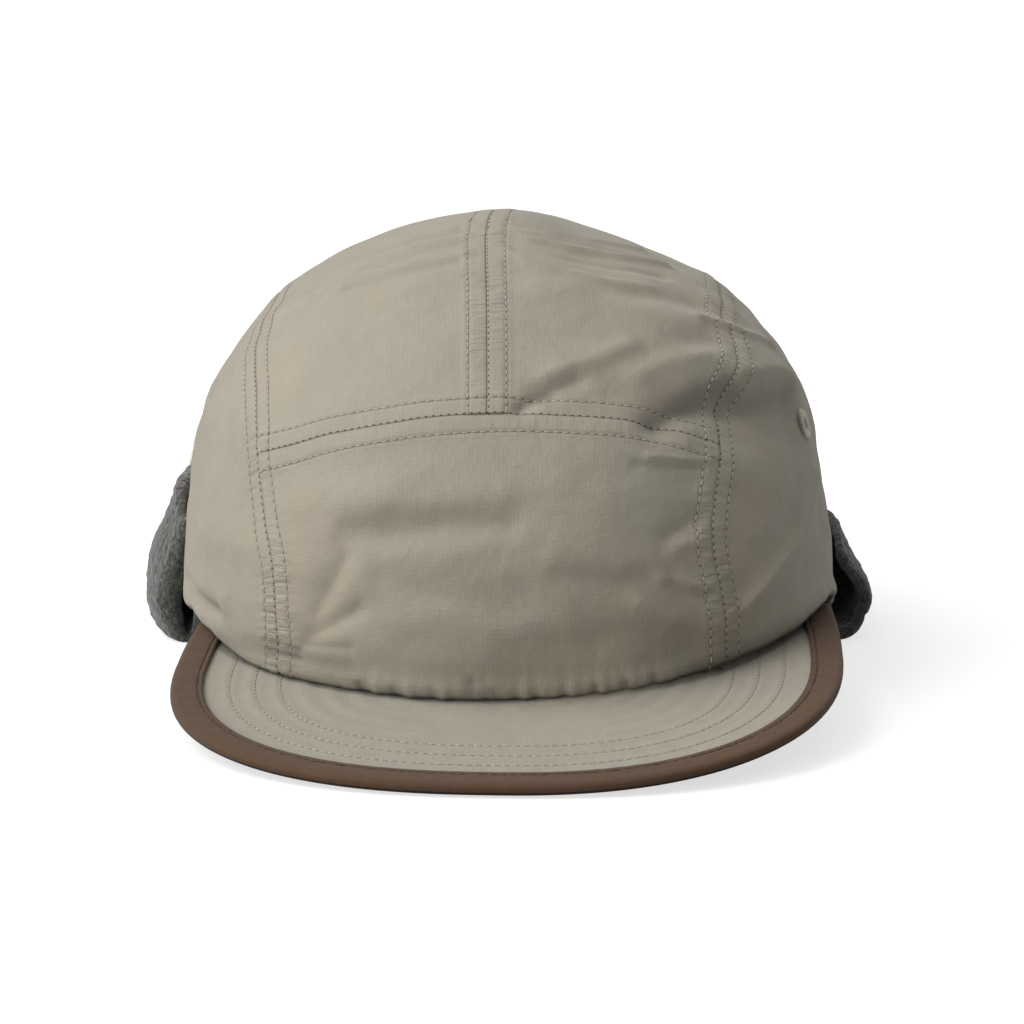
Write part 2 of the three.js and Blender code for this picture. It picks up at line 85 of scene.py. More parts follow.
class SeamPlace(NamedTuple):
    """How far from the crown's middle the three long seams lie, at an angle over the top."""

    angle: float
    left: float
    centre: float
    right: float


CROWN_SECTIONS = (
    Section(2, 87.5, 86, 96, 97, 2.3),
    Section(15, 88.7, 87, 97.5, 99.5, 2.3),
    Section(30, 88.6, 86.5, 97.5, 101, 2.3),
    Section(45, 87.3, 84.2, 94.5, 100, 2.3),
    Section(58, 84.7, 82, 89.5, 96.5, 2.3),
    Section(70, 81.6, 78.8, 83, 90.5, 2.3),
    Section(81, 75.2, 72.8, 74.5, 82, 2.25),
    Section(91, 67.4, 64.6, 63.5, 72, 2.2),
    Section(100, 57.6, 54, 51.5, 60.5, 2.15),
    Section(108, 43.8, 36.6, 38.5, 47, 2.1),
    Section(114, 28.6, 18.6, 24.5, 31, 2.05),
    Section(119, 0, 0, 0, 0, 2),
)

SEAM_ROUTES = (
    SeamPlace(0, -59.5, -6, 54),
    SeamPlace(20, -61.5, -6, 52),
    SeamPlace(40, -65.5, -6.3, 53),
    SeamPlace(50, -66.8, -6.5, 55.5),
    SeamPlace(60, -67, -6.3, 58.5),
    SeamPlace(78, -65.5, -6, 57.5),
    SeamPlace(95, -63.5, -5, 57),
    SeamPlace(120, -60, -3.5, 55),
    SeamPlace(150, -53, -2, 50),
    SeamPlace(180, -44, 0, 44),
)

SEAMS_IN_PHOTO = {
    "left": (
        (279, 662), (276.7, 618.6), (275.4, 593), (273.5, 565), (270.3, 545), (266.4, 527), (262.5, 498),
        (259.5, 470), (257.8, 440), (257.4, 409), (256.5, 384), (256.2, 360), (258.4, 340), (262.5, 325),
        (270.6, 310),
    ),
    "centre": ((487.2, 416), (487.2, 380), (487.2, 330), (486.6, 280), (485.8, 245), (486, 232)),
    "right": (
        (724.5, 656), (724.5, 623.7), (722.5, 603), (719, 583), (715, 565), (711.7, 542), (713.4, 506),
        (717, 478), (719.2, 458), (719, 430), (718, 408), (720, 396), (727, 385), (733.4, 374), (735.6, 358),
        (733.8, 344), (729, 331), (723, 318), (721.6, 300), (719, 290),
    ),
}

BROW_SEAM_IN_PHOTO = (
    (260, 454), (276.3, 449.4), (295, 444.7), (326.3, 435.3), (357.5, 429), (388.8, 423.8), (420, 419),
    (451.3, 416), (482.5, 414.4), (513.8, 414), (545, 415), (576.3, 416.6), (607.5, 419), (638.8, 423.8),
    (660, 428), (690, 436), (716, 443),
)

BROW_ANGLE = 45.0
BROW_REACH = 105.0


def lerp(a: float | Array, b: float | Array, share: float | Array) -> float | Array:
    """The value a share of the way from a to b."""
    return a + (b - a) * share


def smoothstep(x: float | Array, low: float, high: float) -> Array:
    """0 below low, 1 above high, and a smooth climb between them."""
    t = np.clip((np.asarray(x, float) - low) / (high - low), 0, 1)
    return t * t * (3 - 2 * t)


def along_table(keys: Sequence[float], values: Sequence[float], at: float | Array) -> Array:
    """Reads a smooth curve through the rows of a table.

    Args:
        keys: The rows' keys, from low to high.
        values: The rows' values.
        at: Where to read the curve.

    Returns:
        The curve's values.
    """
    keys, values = np.asarray(keys, float), np.asarray(values, float)
    last = len(keys) - 1
    before = np.maximum(np.arange(last + 1) - 1, 0)
    after = np.minimum(np.arange(last + 1) + 1, last)
    slope = (values[after] - values[before]) / (keys[after] - keys[before])
    x = np.clip(at, keys[0], keys[-1])
    row = np.clip(np.searchsorted(keys, x, side="right") - 1, 0, last - 1)
    span = keys[row + 1] - keys[row]
    t = (x - keys[row]) / span
    return (
        (2 * t**3 - 3 * t**2 + 1) * values[row]
        + (t**3 - 2 * t**2 + t) * span * slope[row]
        + (-2 * t**3 + 3 * t**2) * values[row + 1]
        + (t**3 - t**2) * span * slope[row + 1]
    )


def unit(vectors: Array) -> Array:
    """The same directions with a length of one."""
    return vectors / np.maximum(np.linalg.norm(vectors, axis=-1, keepdims=True), TINY)


def arc_lengths(points: Array, axis: int) -> Array:
    """The length along a grid of points from its first row or column to each point.

    Args:
        points: Rows and columns of points.
        axis: 0 to run from row to row, 1 from column to column.

    Returns:
        One length for each point of the grid.
    """
    steps = np.linalg.norm(np.diff(points, axis=axis), axis=-1)
    start = np.zeros_like(np.take(steps, [0], axis=axis))
    return np.concatenate([start, np.cumsum(steps, axis=axis)], axis=axis)


def stops(length: float, coarse: float, fine: float, start: float = 0.0, end: float = 0.0) -> Array:
    """Spreads lines over a length, closer together near its ends.

    Args:
        length: The length to divide.
        coarse: The step in the middle.
        fine: The step near the ends.
        start: How far the fine steps run from the start.
        end: How far the fine steps run from the end.

    Returns:
        The lines' places as shares of the length, from 0 to 1.
    """
    s = np.linspace(0, length, 2000)
    near = np.minimum(s / max(start, TINY), (length - s) / max(end, TINY))
    step = lerp(fine, coarse, smoothstep(near, 1, 1.6))
    count = np.concatenate([[0], np.cumsum(np.diff(s) / step[1:])])
    wanted = np.linspace(0, count[-1], math.ceil(count[-1]) + 1)
    return np.interp(wanted, count, s) / length


@dataclass
class Waves:
    """Smooth seeded noise: plane waves, longer along each axis by the stretch, added up."""

    seed: int
    shortest: float
    longest: float
    stretch: Point = (1.0, 1.0, 1.0)
    count: int = 28

    def __post_init__(self) -> None:
        """Draws the waves."""
        draw = np.random.default_rng(self.seed)
        lengths = np.exp(draw.uniform(math.log(self.shortest), math.log(self.longest), self.count))
        self.numbers = unit(draw.normal(size=(self.count, 3))) * (2 * math.pi / lengths)[:, None]
        self.numbers /= np.asarray(self.stretch)
        self.phases = draw.uniform(0, 2 * math.pi, self.count)

    def at(self, points: Array) -> Array:
        """The noise at each point, mostly between -1 and 1."""
        total = np.zeros(points.shape[:-1])
        for number, phase in zip(self.numbers, self.phases):
            total += np.sin(points @ number + phase)
        return total * math.sqrt(2 / self.count) * 0.6


@dataclass
class CrownForm:
    """The smooth form of the crown, about its axis, with the table it lies on at height zero.

    Attributes:
        sections: The outline at each height, and the top last.
        samples: How many fine sections are made from them.
        far: A distance that is outside the crown from anywhere in it.
    """

    sections: tuple[Section, ...] = CROWN_SECTIONS
    samples: int = 480
    far: float = 220.0

    def __post_init__(self) -> None:
        """Samples the sections finely. A mirrored one past the top rounds it."""
        rows = np.array(self.sections, float)
        mirrored = rows[-2] * np.array([1, -1, -1, -1, -1, 1])
        table = np.vstack([rows, mirrored])
        at = np.linspace(0, len(rows) - 1, self.samples + 1)
        keys = np.arange(len(table))
        self.fine = np.stack([along_table(keys, column, at) for column in table.T], axis=1)
        self.top = float(self.fine[-1, 0])

    def field(self, p: Array) -> Array:
        """Below zero inside the crown, above zero outside it."""
        left, right, front, back, square = (
            np.interp(p[..., 2], self.fine[:, 0], self.fine[:, k]) for k in range(1, 6)
        )
        wide = np.maximum(np.where(p[..., 0] < 0, left, right), 1e-3)
        long = np.maximum(np.where(p[..., 1] < 0, front, back), 1e-3)
        value = np.abs(p[..., 0] / wide) ** square + np.abs(p[..., 1] / long) ** square - 1
        return np.where(p[..., 2] >= self.top, 1.0, value)

    def between(self, origin: Array, direction: Array, low: Array, high: Array) -> Array:
        """Where rays cross the crown.

        Args:
            origin: The rays' starts.
            direction: The rays' directions.
            low: The distance along each ray to a place inside the crown.
            high: The distance along each ray to a place outside it.

        Returns:
            The points where they cross.
        """
        for _ in range(36):
            middle = (low + high) / 2
            inside = self.field(origin + direction * middle[..., None]) < 0
            low, high = np.where(inside, middle, low), np.where(inside, high, middle)
        return origin + direction * low[..., None]

    def leave(self, origin: Array, direction: Array) -> Array:
        """Where rays from inside the crown leave it."""
        low = np.zeros(direction.shape[:-1])
        return self.between(origin, direction, low, np.full_like(low, self.far))

    def over(self, x: Array, angle: Array) -> Array:
        """The crown at a distance from its middle and an angle over the top, 0 at the front rim."""
        x, angle = np.broadcast_arrays(np.asarray(x, float), np.radians(angle))
        nought = np.zeros_like(x)
        origin = np.stack([x, nought, nought], axis=-1)
        return self.leave(origin, np.stack([nought, -np.cos(angle), np.sin(angle)], axis=-1))

    def around(self, turn: Array, up: Array) -> Array:
        """The crown at an angle around from the front, and an angle up from the table."""
        turn, up = np.broadcast_arrays(np.radians(turn), np.radians(up))
        flat = np.cos(up)
        direction = np.stack([np.sin(turn) * flat, -np.cos(turn) * flat, np.sin(up)], axis=-1)
        return self.leave(np.zeros_like(direction), direction)

    def normal(self, p: Array) -> Array:
        """The outward direction at each place on the crown."""
        step = 0.5
        sides = [self.field(p + step * axis) - self.field(p - step * axis) for axis in np.eye(3)]
        slope = unit(np.stack(sides, axis=-1))
        level = smoothstep(p[..., 2], self.top - 6 * step, self.top - 3 * step)[..., None]
        return unit(lerp(slope, np.array([0.0, 0.0, 1.0]), level))


CROWN = CrownForm()


@dataclass(frozen=True)
class BrimForm:
    """The sizes of the brim, and of the crown's rim that follows it.

    The brim is flat, climbs towards the crown, and curls up at its right. Its edge is a rounded front
    between its widest places, with a short side behind each. The whole brim is turned a little.
    """

    front: float = 155.8
    middle_at_front: float = 1.95
    slope: float = 0.108
    lean: float = 0.007
    curl: float = 5.1
    turn: float = 3.15
    middle_x: float = 3.1
    tuck: float = 4.0
    board: float = 1.0
    widest_y: float = -76.5
    half_width: float = 85.9
    square: float = 2.4
    bend_y: float = -58.0
    tip_y: float = -36.0
    tip_half_width: float = 83.2
    inner_angle: float = 6.0
    inner_share: float = 0.93
    inner_front_y: float = -98.0
    tape_width: float = 8.3
    back_rim: float = 16.0
    rim_lean: float = 0.03
    right_drop: float = 6.0

    def middle(self, x: Array, y: Array) -> Array:
        """The height of the middle of the board."""
        curl = self.curl * (np.maximum(x, 0) / self.half_width) ** 2
        return self.middle_at_front + self.slope * (y + self.front) + self.lean * x + curl

    def normals(self, count: int) -> Array:
        """The direction out of the board's top face, once for each of a number of points."""
        return unit(np.tile([0.0, -self.slope, 1.0], (count, 1)))

    def rim(self, x: Array, y: Array) -> Array:
        """The height of the crown's lower edge: on the brim in front, level around the back."""
        gap = 1.5 * smoothstep(x, 24, 58) * (1 - smoothstep(x, 76, 86))
        on_board = self.middle(x, y) + self.board / 2 + 0.4 + gap + 1.3 * smoothstep(y, -72, -56)
        level = self.back_rim + self.rim_lean * x - self.right_drop * smoothstep(x, 20, 70)
        return lerp(on_board, level, smoothstep(y, -38, -6) ** 0.7)

    def edge(self, inset: float, count: int) -> Array:
        """Points evenly spread along the brim's edge, from its left tip to its right one.

        Args:
            inset: How far the points lie in from the edge.
            count: How many steps there are.

        Returns:
            The points, across and along.
        """
        power = 2 / self.square
        turn = np.radians(np.linspace(-90, 90, 241))
        x = self.half_width * np.sign(turn) * np.abs(np.sin(turn)) ** power
        y = self.widest_y - (self.front + self.widest_y) * np.abs(np.cos(turn)) ** power
        beside = lerp(self.tip_half_width, self.half_width, 0.75)
        share = np.linspace(0, 1, 24, endpoint=False)
        backs = (-self.tip_y, -self.bend_y, -self.widest_y)
        side_y = lerp(self.tip_y, self.widest_y, share)
        side_x = along_table(backs, (self.tip_half_width, beside, self.half_width), -side_y)
        left = np.stack([-side_x, side_y], axis=1)
        right = np.stack([side_x, side_y], axis=1)[::-1]
        line = np.concatenate([left, np.stack([x, y], axis=1), right])
        line = resample(line, np.linspace(0, 1, 2 * count + 1))
        along = unit(np.gradient(line, axis=0))
        line = line + inset * np.stack([-along[:, 1], along[:, 0]], axis=1)
        line = resample(line, np.linspace(0, 1, count + 1))
        a = -math.radians(self.turn)
        turned = line @ np.array([[math.cos(a), math.sin(a)], [-math.sin(a), math.cos(a)]])
        return turned + np.array([self.middle_x, 0.0])

    def under_rim(self, edge: Array) -> Array:
        """Where the brim's inner edge lies, tucked under the rim, inwards from points of its edge."""
        x = edge[:, 0] * self.inner_share
        around = np.degrees(np.arctan2(x, -np.maximum(edge[:, 1], self.inner_front_y)))
        p = CROWN.around(around, np.full_like(around, self.inner_angle))[:, :2]
        long = np.linalg.norm(p, axis=1, keepdims=True)
        return p * (long - self.tuck) / long


def beside_line(points: Array, line: Array) -> tuple[Array, Array]:
    """How far each point lies from a line of points, and how far along it that is."""
    along = arc_lengths(line[None], 1)[0]
    best, at = np.full(points.shape[:-1], np.inf), np.zeros(points.shape[:-1])
    for start, a, b in zip(along, line[:-1], line[1:]):
        run = b - a
        share = np.clip((points - a) @ run / max(run @ run, TINY), 0, 1)
        away = np.linalg.norm(points - a - share[..., None] * run, axis=-1)
        at = np.where(away < best, start + share * np.linalg.norm(run), at)
        best = np.minimum(best, away)
    return best, at


def resample(line: Array, shares: Array) -> Array:
    """Points at the given shares of a line's length."""
    at = arc_lengths(line[None], 1)[0]
    return np.stack([np.interp(shares * at[-1], at, column) for column in line.T], axis=1)


BRIM = BrimForm()


def found_angle(
    point_at: Callable[[Array], Array], outside: Array, inside: Array, above: float = 0.0
) -> Array:
    """The angle at which lines over or up the crown meet its rim.

    Args:
        point_at: The crown's point at an angle, for every line at once.
        outside: An angle outside the rim for each line.
        inside: An angle inside it.
        above: How far above the rim to stop.

    Returns:
        One angle for each line.
    """
    low, high = np.asarray(outside, float), np.asarray(inside, float)
    for _ in range(24):
        middle = (low + high) / 2
        p = point_at(middle)
        below = p[..., 2] < BRIM.rim(p[..., 0], p[..., 1]) + above
        low, high = np.where(below, middle, low), np.where(below, high, middle)
    return high


@dataclass(frozen=True)
class PhotoView:
    """The camera of the photograph, in millimetres about the crown's axis."""

    elevation: float = 12.2
    distance: float = 1300.0
    aim_height: float = 37.1
    focal_pixels: float = 4797.0
    picture: int = 1024
    sensor_mm: float = 36.0

    def axes(self) -> tuple[Array, Array, Array]:
        """The directions to the right, up and forward."""
        a = math.radians(self.elevation)
        forward = np.array([0.0, math.cos(a), -math.sin(a)])
        return np.array([1.0, 0.0, 0.0]), np.array([0.0, math.sin(a), math.cos(a)]), forward

    def place(self) -> Array:
        """Where the camera stands."""
        return np.array([0.0, 0.0, self.aim_height]) - self.axes()[2] * self.distance

    def on_crown(self, pixels: Sequence[Pixel]) -> Array:
        """The places on the smooth crown that show at pixels of the photograph.

        Args:
            pixels: Their columns and rows.

        Returns:
            One point for each. A pixel just off the crown gives the crown's nearest outline.
        """
        right, up, forward = self.axes()
        offset = np.asarray(pixels, float) - self.picture / 2
        rays = unit(forward * self.focal_pixels + offset[:, :1] * right - offset[:, 1:] * up)
        reach = np.linspace(self.distance - 180, self.distance + 140, 1600)
        start = self.place()
        inside = CROWN.field(start + rays[:, None] * reach[None, :, None])
        hit = (inside < 0).any(axis=1)
        first = np.where(hit, (inside < 0).argmax(axis=1), inside.argmin(axis=1))
        step = reach[1] - reach[0]
        ahead = CROWN.between(start, rays, reach[first], reach[first] - step)
        return np.where(hit[:, None], ahead, start + rays * reach[first][:, None])

    def pixels(self, places: Array) -> Array:
        """The columns and rows at which places show."""
        right, up, forward = self.axes()
        offset = places - self.place()
        scale = self.focal_pixels / (offset @ forward)
        return self.picture / 2 + np.stack([offset @ right * scale, -(offset @ up) * scale], axis=-1)

    def make(self) -> None:
        """Makes Blender's camera."""
        data = bpy.data.cameras.new("photo_view")
        data.lens = self.focal_pixels / self.picture * self.sensor_mm
        data.sensor_width = self.sensor_mm
        data.clip_end = 50
        camera = bpy.data.objects.new("photo_view", data)
        bpy.context.scene.collection.objects.link(camera)
        right, up, forward = self.axes()
        turn = Matrix([right, up, -forward]).transposed()
        camera.matrix_world = Matrix.Translation(Vector((self.place() + CROWN_AXIS) * MM)) @ turn.to_4x4()
        bpy.context.scene.camera = camera


VIEW = PhotoView()


@dataclass(frozen=True)
class Fold:
    """A soft ridge or dent of the crown along a line.

    Attributes:
        line: Pixels of the photograph that the line runs through.
        width: How wide it is.
        rise: How far it stands out, below zero where it sinks in.
        sharp: 2 for a soft swell, nearer 1 for a crease.
        slide: How far it pushes the cloth sideways.
        deep: How much painted shade darkens the cloth in it, from 0 to 1.
    """

    line: tuple[Pixel, ...]
    width: float
    rise: float
    sharp: float = 2.0
    slide: float = 0.0
    deep: float = 0.0

    def places(self) -> Array:
        """The line's points on the crown."""
        return VIEW.on_crown(self.line)


@dataclass(frozen=True)
class HiddenFold(Fold):
    """A fold that the photograph doesn't show, through points about the crown's axis."""

    line: tuple[Point, ...]

    def places(self) -> Array:
        """The line's points as they are given."""
        return np.asarray(self.line, float)


MAIN_DENTS = (
    HiddenFold(((56, -66, 76), (74, -38, 68)), 9, -3.2),
    HiddenFold(((58, -52, 88), (70, -22, 84)), 8, 1.6),
    HiddenFold(((26, -74, 80), (52, -62, 74)), 9, -0.5),
    HiddenFold(((-84, -24, 20), (-76, -48, 13)), 5, -2.6),
    HiddenFold(((-46, -84, 20), (-8, -95, 17)), 8, 1.2),
    HiddenFold(((85, -32, 21), (80, -46, 21), (73, -60, 21)), 7, 2.1),
    HiddenFold(((84, 0, 46), (82, -12, 60), (80, -2, 72)), 12, -0.8),
)

# A fold's deep value is painted shade; a fold with no rise and a deep value is only a line of painted shade.
TOP_FOLDS = (
    Fold(((460, 227), (500, 227), (540, 228), (575, 233)), 1.1, -0.55, 1.6),
    Fold(((484, 219), (515, 223), (550, 230), (590, 239), (640, 250)), 1.6, 1.0, 1.4, 0.3),
    Fold(((508, 231), (545, 236), (600, 246), (640, 256)), 1.4, -0.5),
    Fold(((490, 235), (530, 240), (570, 246), (620, 256), (665, 265)), 1.6, 1.2, 1.4, 0.35),
    Fold(((515, 249), (560, 257), (620, 267), (665, 276)), 1.8, -0.7),
    Fold(((508, 253), (530, 262), (560, 270), (600, 279), (650, 287)), 1.9, 0.9, 1.4),
    Fold(((600, 294), (665, 296), (692, 302)), 5.0, -0.6),
    Fold(((540, 288), (620, 307), (690, 327)), 5.0, 0.6),
    Fold(((468, 222), (425, 229), (385, 239)), 1.6, 0.9, 1.5),
    Fold(((468, 229), (425, 236), (378, 248)), 1.5, -0.7, deep=0.07),
    Fold(((466, 238), (410, 250), (360, 264), (318, 281)), 1.8, 1.1, 1.5, 0.25),
    Fold(((466, 244), (410, 256), (362, 270)), 1.5, -0.4, deep=0.06),
    Fold(((462, 257), (400, 268), (345, 283), (305, 298)), 2.0, 1.0, 1.5, 0.2),
    Fold(((458, 264), (400, 275), (350, 290)), 1.8, -0.7, deep=0.06),
    Fold(((455, 275), (380, 296), (320, 312)), 6.0, 0.5),
    Fold(((330, 300), (300, 345), (285, 392)), 7.0, 0.6),
    Fold(((440, 310), (380, 335), (330, 378)), 8.0, -0.6),
)

SHOULDER_FOLDS = (
    Fold(((650, 296), (690, 302), (720, 313)), 5.0, -0.6),
    Fold(((696, 317), (722, 326), (743, 335), (766, 346)), 1.9, 1.05, 1.5, 0.5),
    Fold(((690, 340), (712, 348), (728, 356)), 3.0, -0.5),
    Fold(((720, 356), (700, 358), (672, 362), (640, 374)), 3.4, 1.1, 1.7),
    Fold(((722, 400), (706, 402), (680, 408), (656, 424)), 4.0, -2.7, 1.6),
    Fold(((733, 404), (752, 405), (772, 404), (792, 402)), 3.6, -2.5, 1.6),
    Fold(((660, 424), (676, 410), (698, 394), (724, 382)), 3.8, 0.0, deep=0.36),
    Fold(((734, 394), (752, 399), (775, 394), (790, 389)), 2.6, 0.0, deep=0.26),
    Fold(((519, 409), (532, 399), (550, 393)), 1.6, -0.5, deep=0.25),
    Fold(((560, 400), (600, 400), (650, 408)), 4.0, 0.0, deep=0.1),
    Fold(((738, 378), (752, 376), (772, 374), (794, 384)), 3.4, 1.3, 1.7),
    Fold(((522, 404), (534, 395), (548, 388), (578, 378)), 2.6, -1.3, 1.6),
    Fold(((556, 396), (610, 392), (655, 398)), 6.0, -0.8),
    Fold(((560, 362), (610, 348), (650, 332)), 6.0, 0.8),
    Fold(((548, 376), (590, 362), (630, 346)), 2.6, 0.8),
)

FRONT_FOLDS = (
    Fold(((345, 505), (420, 498), (500, 495)), 5.0, 0.7),
    Fold(((345, 535), (420, 530), (505, 526)), 4.4, -1.0),
    Fold(((345, 525), (420, 521), (505, 519)), 3.0, 0.0, deep=0.1),
    Fold(((316, 614), (329, 588), (344, 560)), 3.2, -1.1, 1.6),
    Fold(((309, 637), (333, 625), (358, 610)), 2.7, -1.0, 1.6),
    Fold(((303, 646), (325, 648), (349, 648)), 1.6, -0.6, 1.5),
    Fold(((662, 578), (684, 582), (704, 587)), 2.0, 0.7, 1.5),
    Fold(((640, 604), (655, 612), (671, 622)), 2.4, 0.7, 1.5),
    Fold(((672, 584), (688, 595), (706, 597)), 1.8, -0.9, 1.5),
    Fold(((670, 536), (684, 527), (700, 519)), 2.8, -0.9, 1.6),
    Fold(((676, 548), (692, 540), (704, 534)), 2.4, 0.6),
    Fold(((560, 560), (620, 566), (664, 566)), 4.0, 0.5),
    Fold(((560, 577), (620, 584), (668, 570)), 3.2, -0.5),
    Fold(((380, 590), (450, 600), (520, 596)), 5.0, -0.4),
    Fold(((400, 620), (480, 630), (560, 622)), 5.0, 0.45),
    Fold(((600, 640), (640, 634), (690, 640)), 4.0, -0.6),
    Fold(((650, 646), (690, 642), (722, 650)), 7.0, 0.0, deep=0.24),
    Fold(((690, 672), (740, 652), (780, 630), (815, 606)), 3.2, 0.0, deep=0.3),
    Fold(((218, 636), (260, 648), (300, 655), (345, 662)), 2.8, 0.0, deep=0.3),
    Fold(((359, 684), (361, 694)), 1.1, -0.5, deep=0.4),
    Fold(((392, 690), (394, 698)), 1.0, -0.4, deep=0.3),
    Fold(((472, 682), (475, 698)), 1.4, -0.45, deep=0.3),
    Fold(((494, 690), (497, 700)), 1.2, -0.4, deep=0.3),
    Fold(((596, 688), (597, 698)), 1.3, -0.4, deep=0.3),
    Fold(((627, 684), (630, 694)), 1.4, -0.4, deep=0.3),
    Fold(((654, 676), (656, 686)), 1.2, -0.3, deep=0.25),
    Fold(((264, 640), (280, 643), (298, 650)), 0.9, -0.3, deep=0.25),
    Fold(((267, 650), (283, 653), (300, 659)), 0.9, -0.3, deep=0.22),
    Fold(((636, 464), (670, 467), (704, 467)), 1.3, -0.3, deep=0.1),
    Fold(((650, 456), (680, 458), (712, 460)), 1.4, 0.6, 1.5),
    Fold(((590, 478), (640, 470), (690, 478)), 5.0, -0.5),
    Fold(((300, 500), (340, 490), (390, 488)), 6.0, 0.5),
)

SIDE_FOLDS = (
    Fold(((815, 476), (808, 505), (800, 535), (775, 570), (745, 603)), 2.6, 1.5, 1.5),
    Fold(((800, 480), (792, 520), (770, 556), (742, 585)), 4.0, -0.8),
    Fold(((822, 520), (812, 560), (785, 596), (752, 620)), 4.0, -0.6),
    Fold(((181, 577), (190, 588), (203, 602), (217, 611)), 1.8, -2.4, 1.4, deep=0.2),
    Fold(((192, 577), (204, 590), (222, 604)), 4.0, 0.7),
    Fold(((189, 596), (192, 608), (200, 618)), 3.4, 0.9),
    Fold(((214, 440), (236, 470), (250, 520)), 8.0, -0.5),
    Fold(((226, 560), (244, 570), (262, 590)), 5.0, -0.6),
    Fold(((205, 530), (225, 545), (250, 548)), 6.0, 0.5),
)

BACK_FOLDS = (
    HiddenFold(((-40, 50, 97), (-20, 62, 94), (-8, 66, 93)), 2.6, 0.8, 1.6),
    HiddenFold(((4, 66, 93), (26, 60, 94), (46, 44, 92)), 2.6, -0.9, 1.6),
    HiddenFold(((-52, 62, 72), (-30, 78, 74), (-6, 84, 76)), 3.6, -0.9),
    HiddenFold(((6, 86, 72), (34, 82, 66), (50, 70, 62)), 3.8, 0.9),
    HiddenFold(((56, 60, 70), (72, 34, 62), (80, 10, 54)), 4.2, -1.1, 1.7),
    HiddenFold(((-60, 54, 74), (-76, 26, 66), (-82, 6, 56)), 4.6, 1.0, 1.7),
    HiddenFold(((-44, 90, 44), (-20, 98, 50), (10, 100, 52)), 4.6, 0.9),
    HiddenFold(((14, 99, 46), (40, 92, 50), (62, 76, 54)), 4.2, -0.9),
    HiddenFold(((-70, 66, 40), (-80, 44, 48), (-86, 14, 52)), 5.0, -0.8),
    HiddenFold(((0, 30, 116), (-30, 22, 112), (-52, 10, 104)), 3.4, 0.7, 1.6),
    HiddenFold(((6, 36, 115), (30, 30, 110), (50, 16, 104)), 3.4, -0.7, 1.6),
)

ALL_FOLDS = MAIN_DENTS + TOP_FOLDS + SHOULDER_FOLDS + FRONT_FOLDS + SIDE_FOLDS + BACK_FOLDS


@dataclass
class SoftCrown:
    """How the soft cloth of the crown leaves its smooth form.

    Attributes:
        folds: Its ridges and dents.
        sag: How far its broad waves rise.
        crumple: How far its small wrinkles rise.
        ripple: How far its smallest wrinkles rise.
    """

    folds: tuple[Fold, ...] = ALL_FOLDS
    sag: float = 0.5
    crumple: float = 0.26
    ripple: float = 0.07

    def __post_init__(self) -> None:
        """Finds the folds' places and draws the waves."""
        self.lines = [fold.places() for fold in self.folds]
        self.broad = Waves(11, 34, 70, (1.5, 1.0, 1.0))
        self.small = Waves(12, 9, 24, (2.0, 1.3, 1.0), 40)
        self.fine = Waves(14, 4.5, 10, (2.4, 1.3, 1.0), 60)
        self.where = Waves(13, 50, 110)

    def move(self, points: Array) -> tuple[Array, Array, Array]:
        """How far the cloth rises, slides towards +X and darkens by painted shade, at each point of the
        smooth crown.
        """
        rise = self.sag * self.broad.at(points)
        strength = 0.75 + 0.5 * self.where.at(points)
        rise += strength * (self.crumple * self.small.at(points) + self.ripple * self.fine.at(points))
        slide, deep = np.zeros_like(rise), np.zeros_like(rise)
        for fold, line in zip(self.folds, self.lines):
            near = np.exp(-((beside_line(points, line)[0] / fold.width) ** fold.sharp))
            rise += fold.rise * near
            slide += fold.slide * near
            # Painted shade: darker cloth along the folds that have a deep value.
            deep += fold.deep * near
        return rise, slide, deep

    def moved(self, points: Array) -> Array:
        """Where places of the smooth crown lie on the soft cloth."""
        rise, slide, _ = self.move(points)
        return points + CROWN.normal(points) * rise[..., None] + SIDEWAYS * slide[..., None]

    def shown_at(self, pixels: Sequence[Pixel]) -> Array:
        """The places of the smooth crown whose soft cloth shows at pixels of the photograph."""
        wanted = np.asarray(pixels, float)
        shift = np.zeros_like(wanted)
        for _ in range(3):
            shift = shift + (wanted - VIEW.pixels(self.moved(VIEW.on_crown(wanted + shift)))) * 0.5
            if len(shift) > 2:
                padded = np.concatenate([shift[:1], shift, shift[-1:]])
                shift = (padded[:-2] + 2 * padded[1:-1] + padded[2:]) / 4
        return VIEW.on_crown(wanted + shift)


SOFT = SoftCrown()


class SeamRoutes:
    """Where the crown's seams run: as the photograph shows them, and by their table behind that."""

    def __init__(self) -> None:
        """Reads the seams' places off the photograph."""
        self.routes = {name: self._route(name, line) for name, line in SEAMS_IN_PHOTO.items()}
        places = SOFT.shown_at(BROW_SEAM_IN_PHOTO)
        self.brow = (places[:, 0], self.angle_of(places))

    @staticmethod
    def angle_of(places: Array) -> Array:
        """The angle over the top at which each place lies."""
        return np.degrees(np.arctan2(places[:, 2], -places[:, 1]))

    def _route(self, name: str, line: Sequence[Pixel]) -> tuple[Array, Array]:
        """A seam's angles over the top, and its distances from the middle."""
        places = SOFT.shown_at(line)
        angles = self.angle_of(places)
        table = [(place.angle, getattr(place, name)) for place in SEAM_ROUTES]
        hidden = [row for row in table if row[0] > angles.max() + 8]
        lowest = [(-20.0, float(places[0, 0]))]
        rows = sorted(lowest + list(zip(angles.tolist(), places[:, 0].tolist())) + hidden)
        return tuple(np.array(column) for column in zip(*rows))

    def x_at(self, name: str, angle: Array) -> Array:
        """How far from the middle a long seam lies at an angle over the top."""
        return along_table(*self.routes[name], angle)

    def brow_angle(self, x_at: Callable[[Array], Array]) -> Array:
        """The angle of the brow seam along lines whose distance from the middle depends on the angle."""
        angle = along_table(*self.brow, x_at(np.full((1, 1), BROW_ANGLE)))
        for _ in range(6):
            angle = along_table(*self.brow, x_at(angle))
        return angle


SEAMS = SeamRoutes()


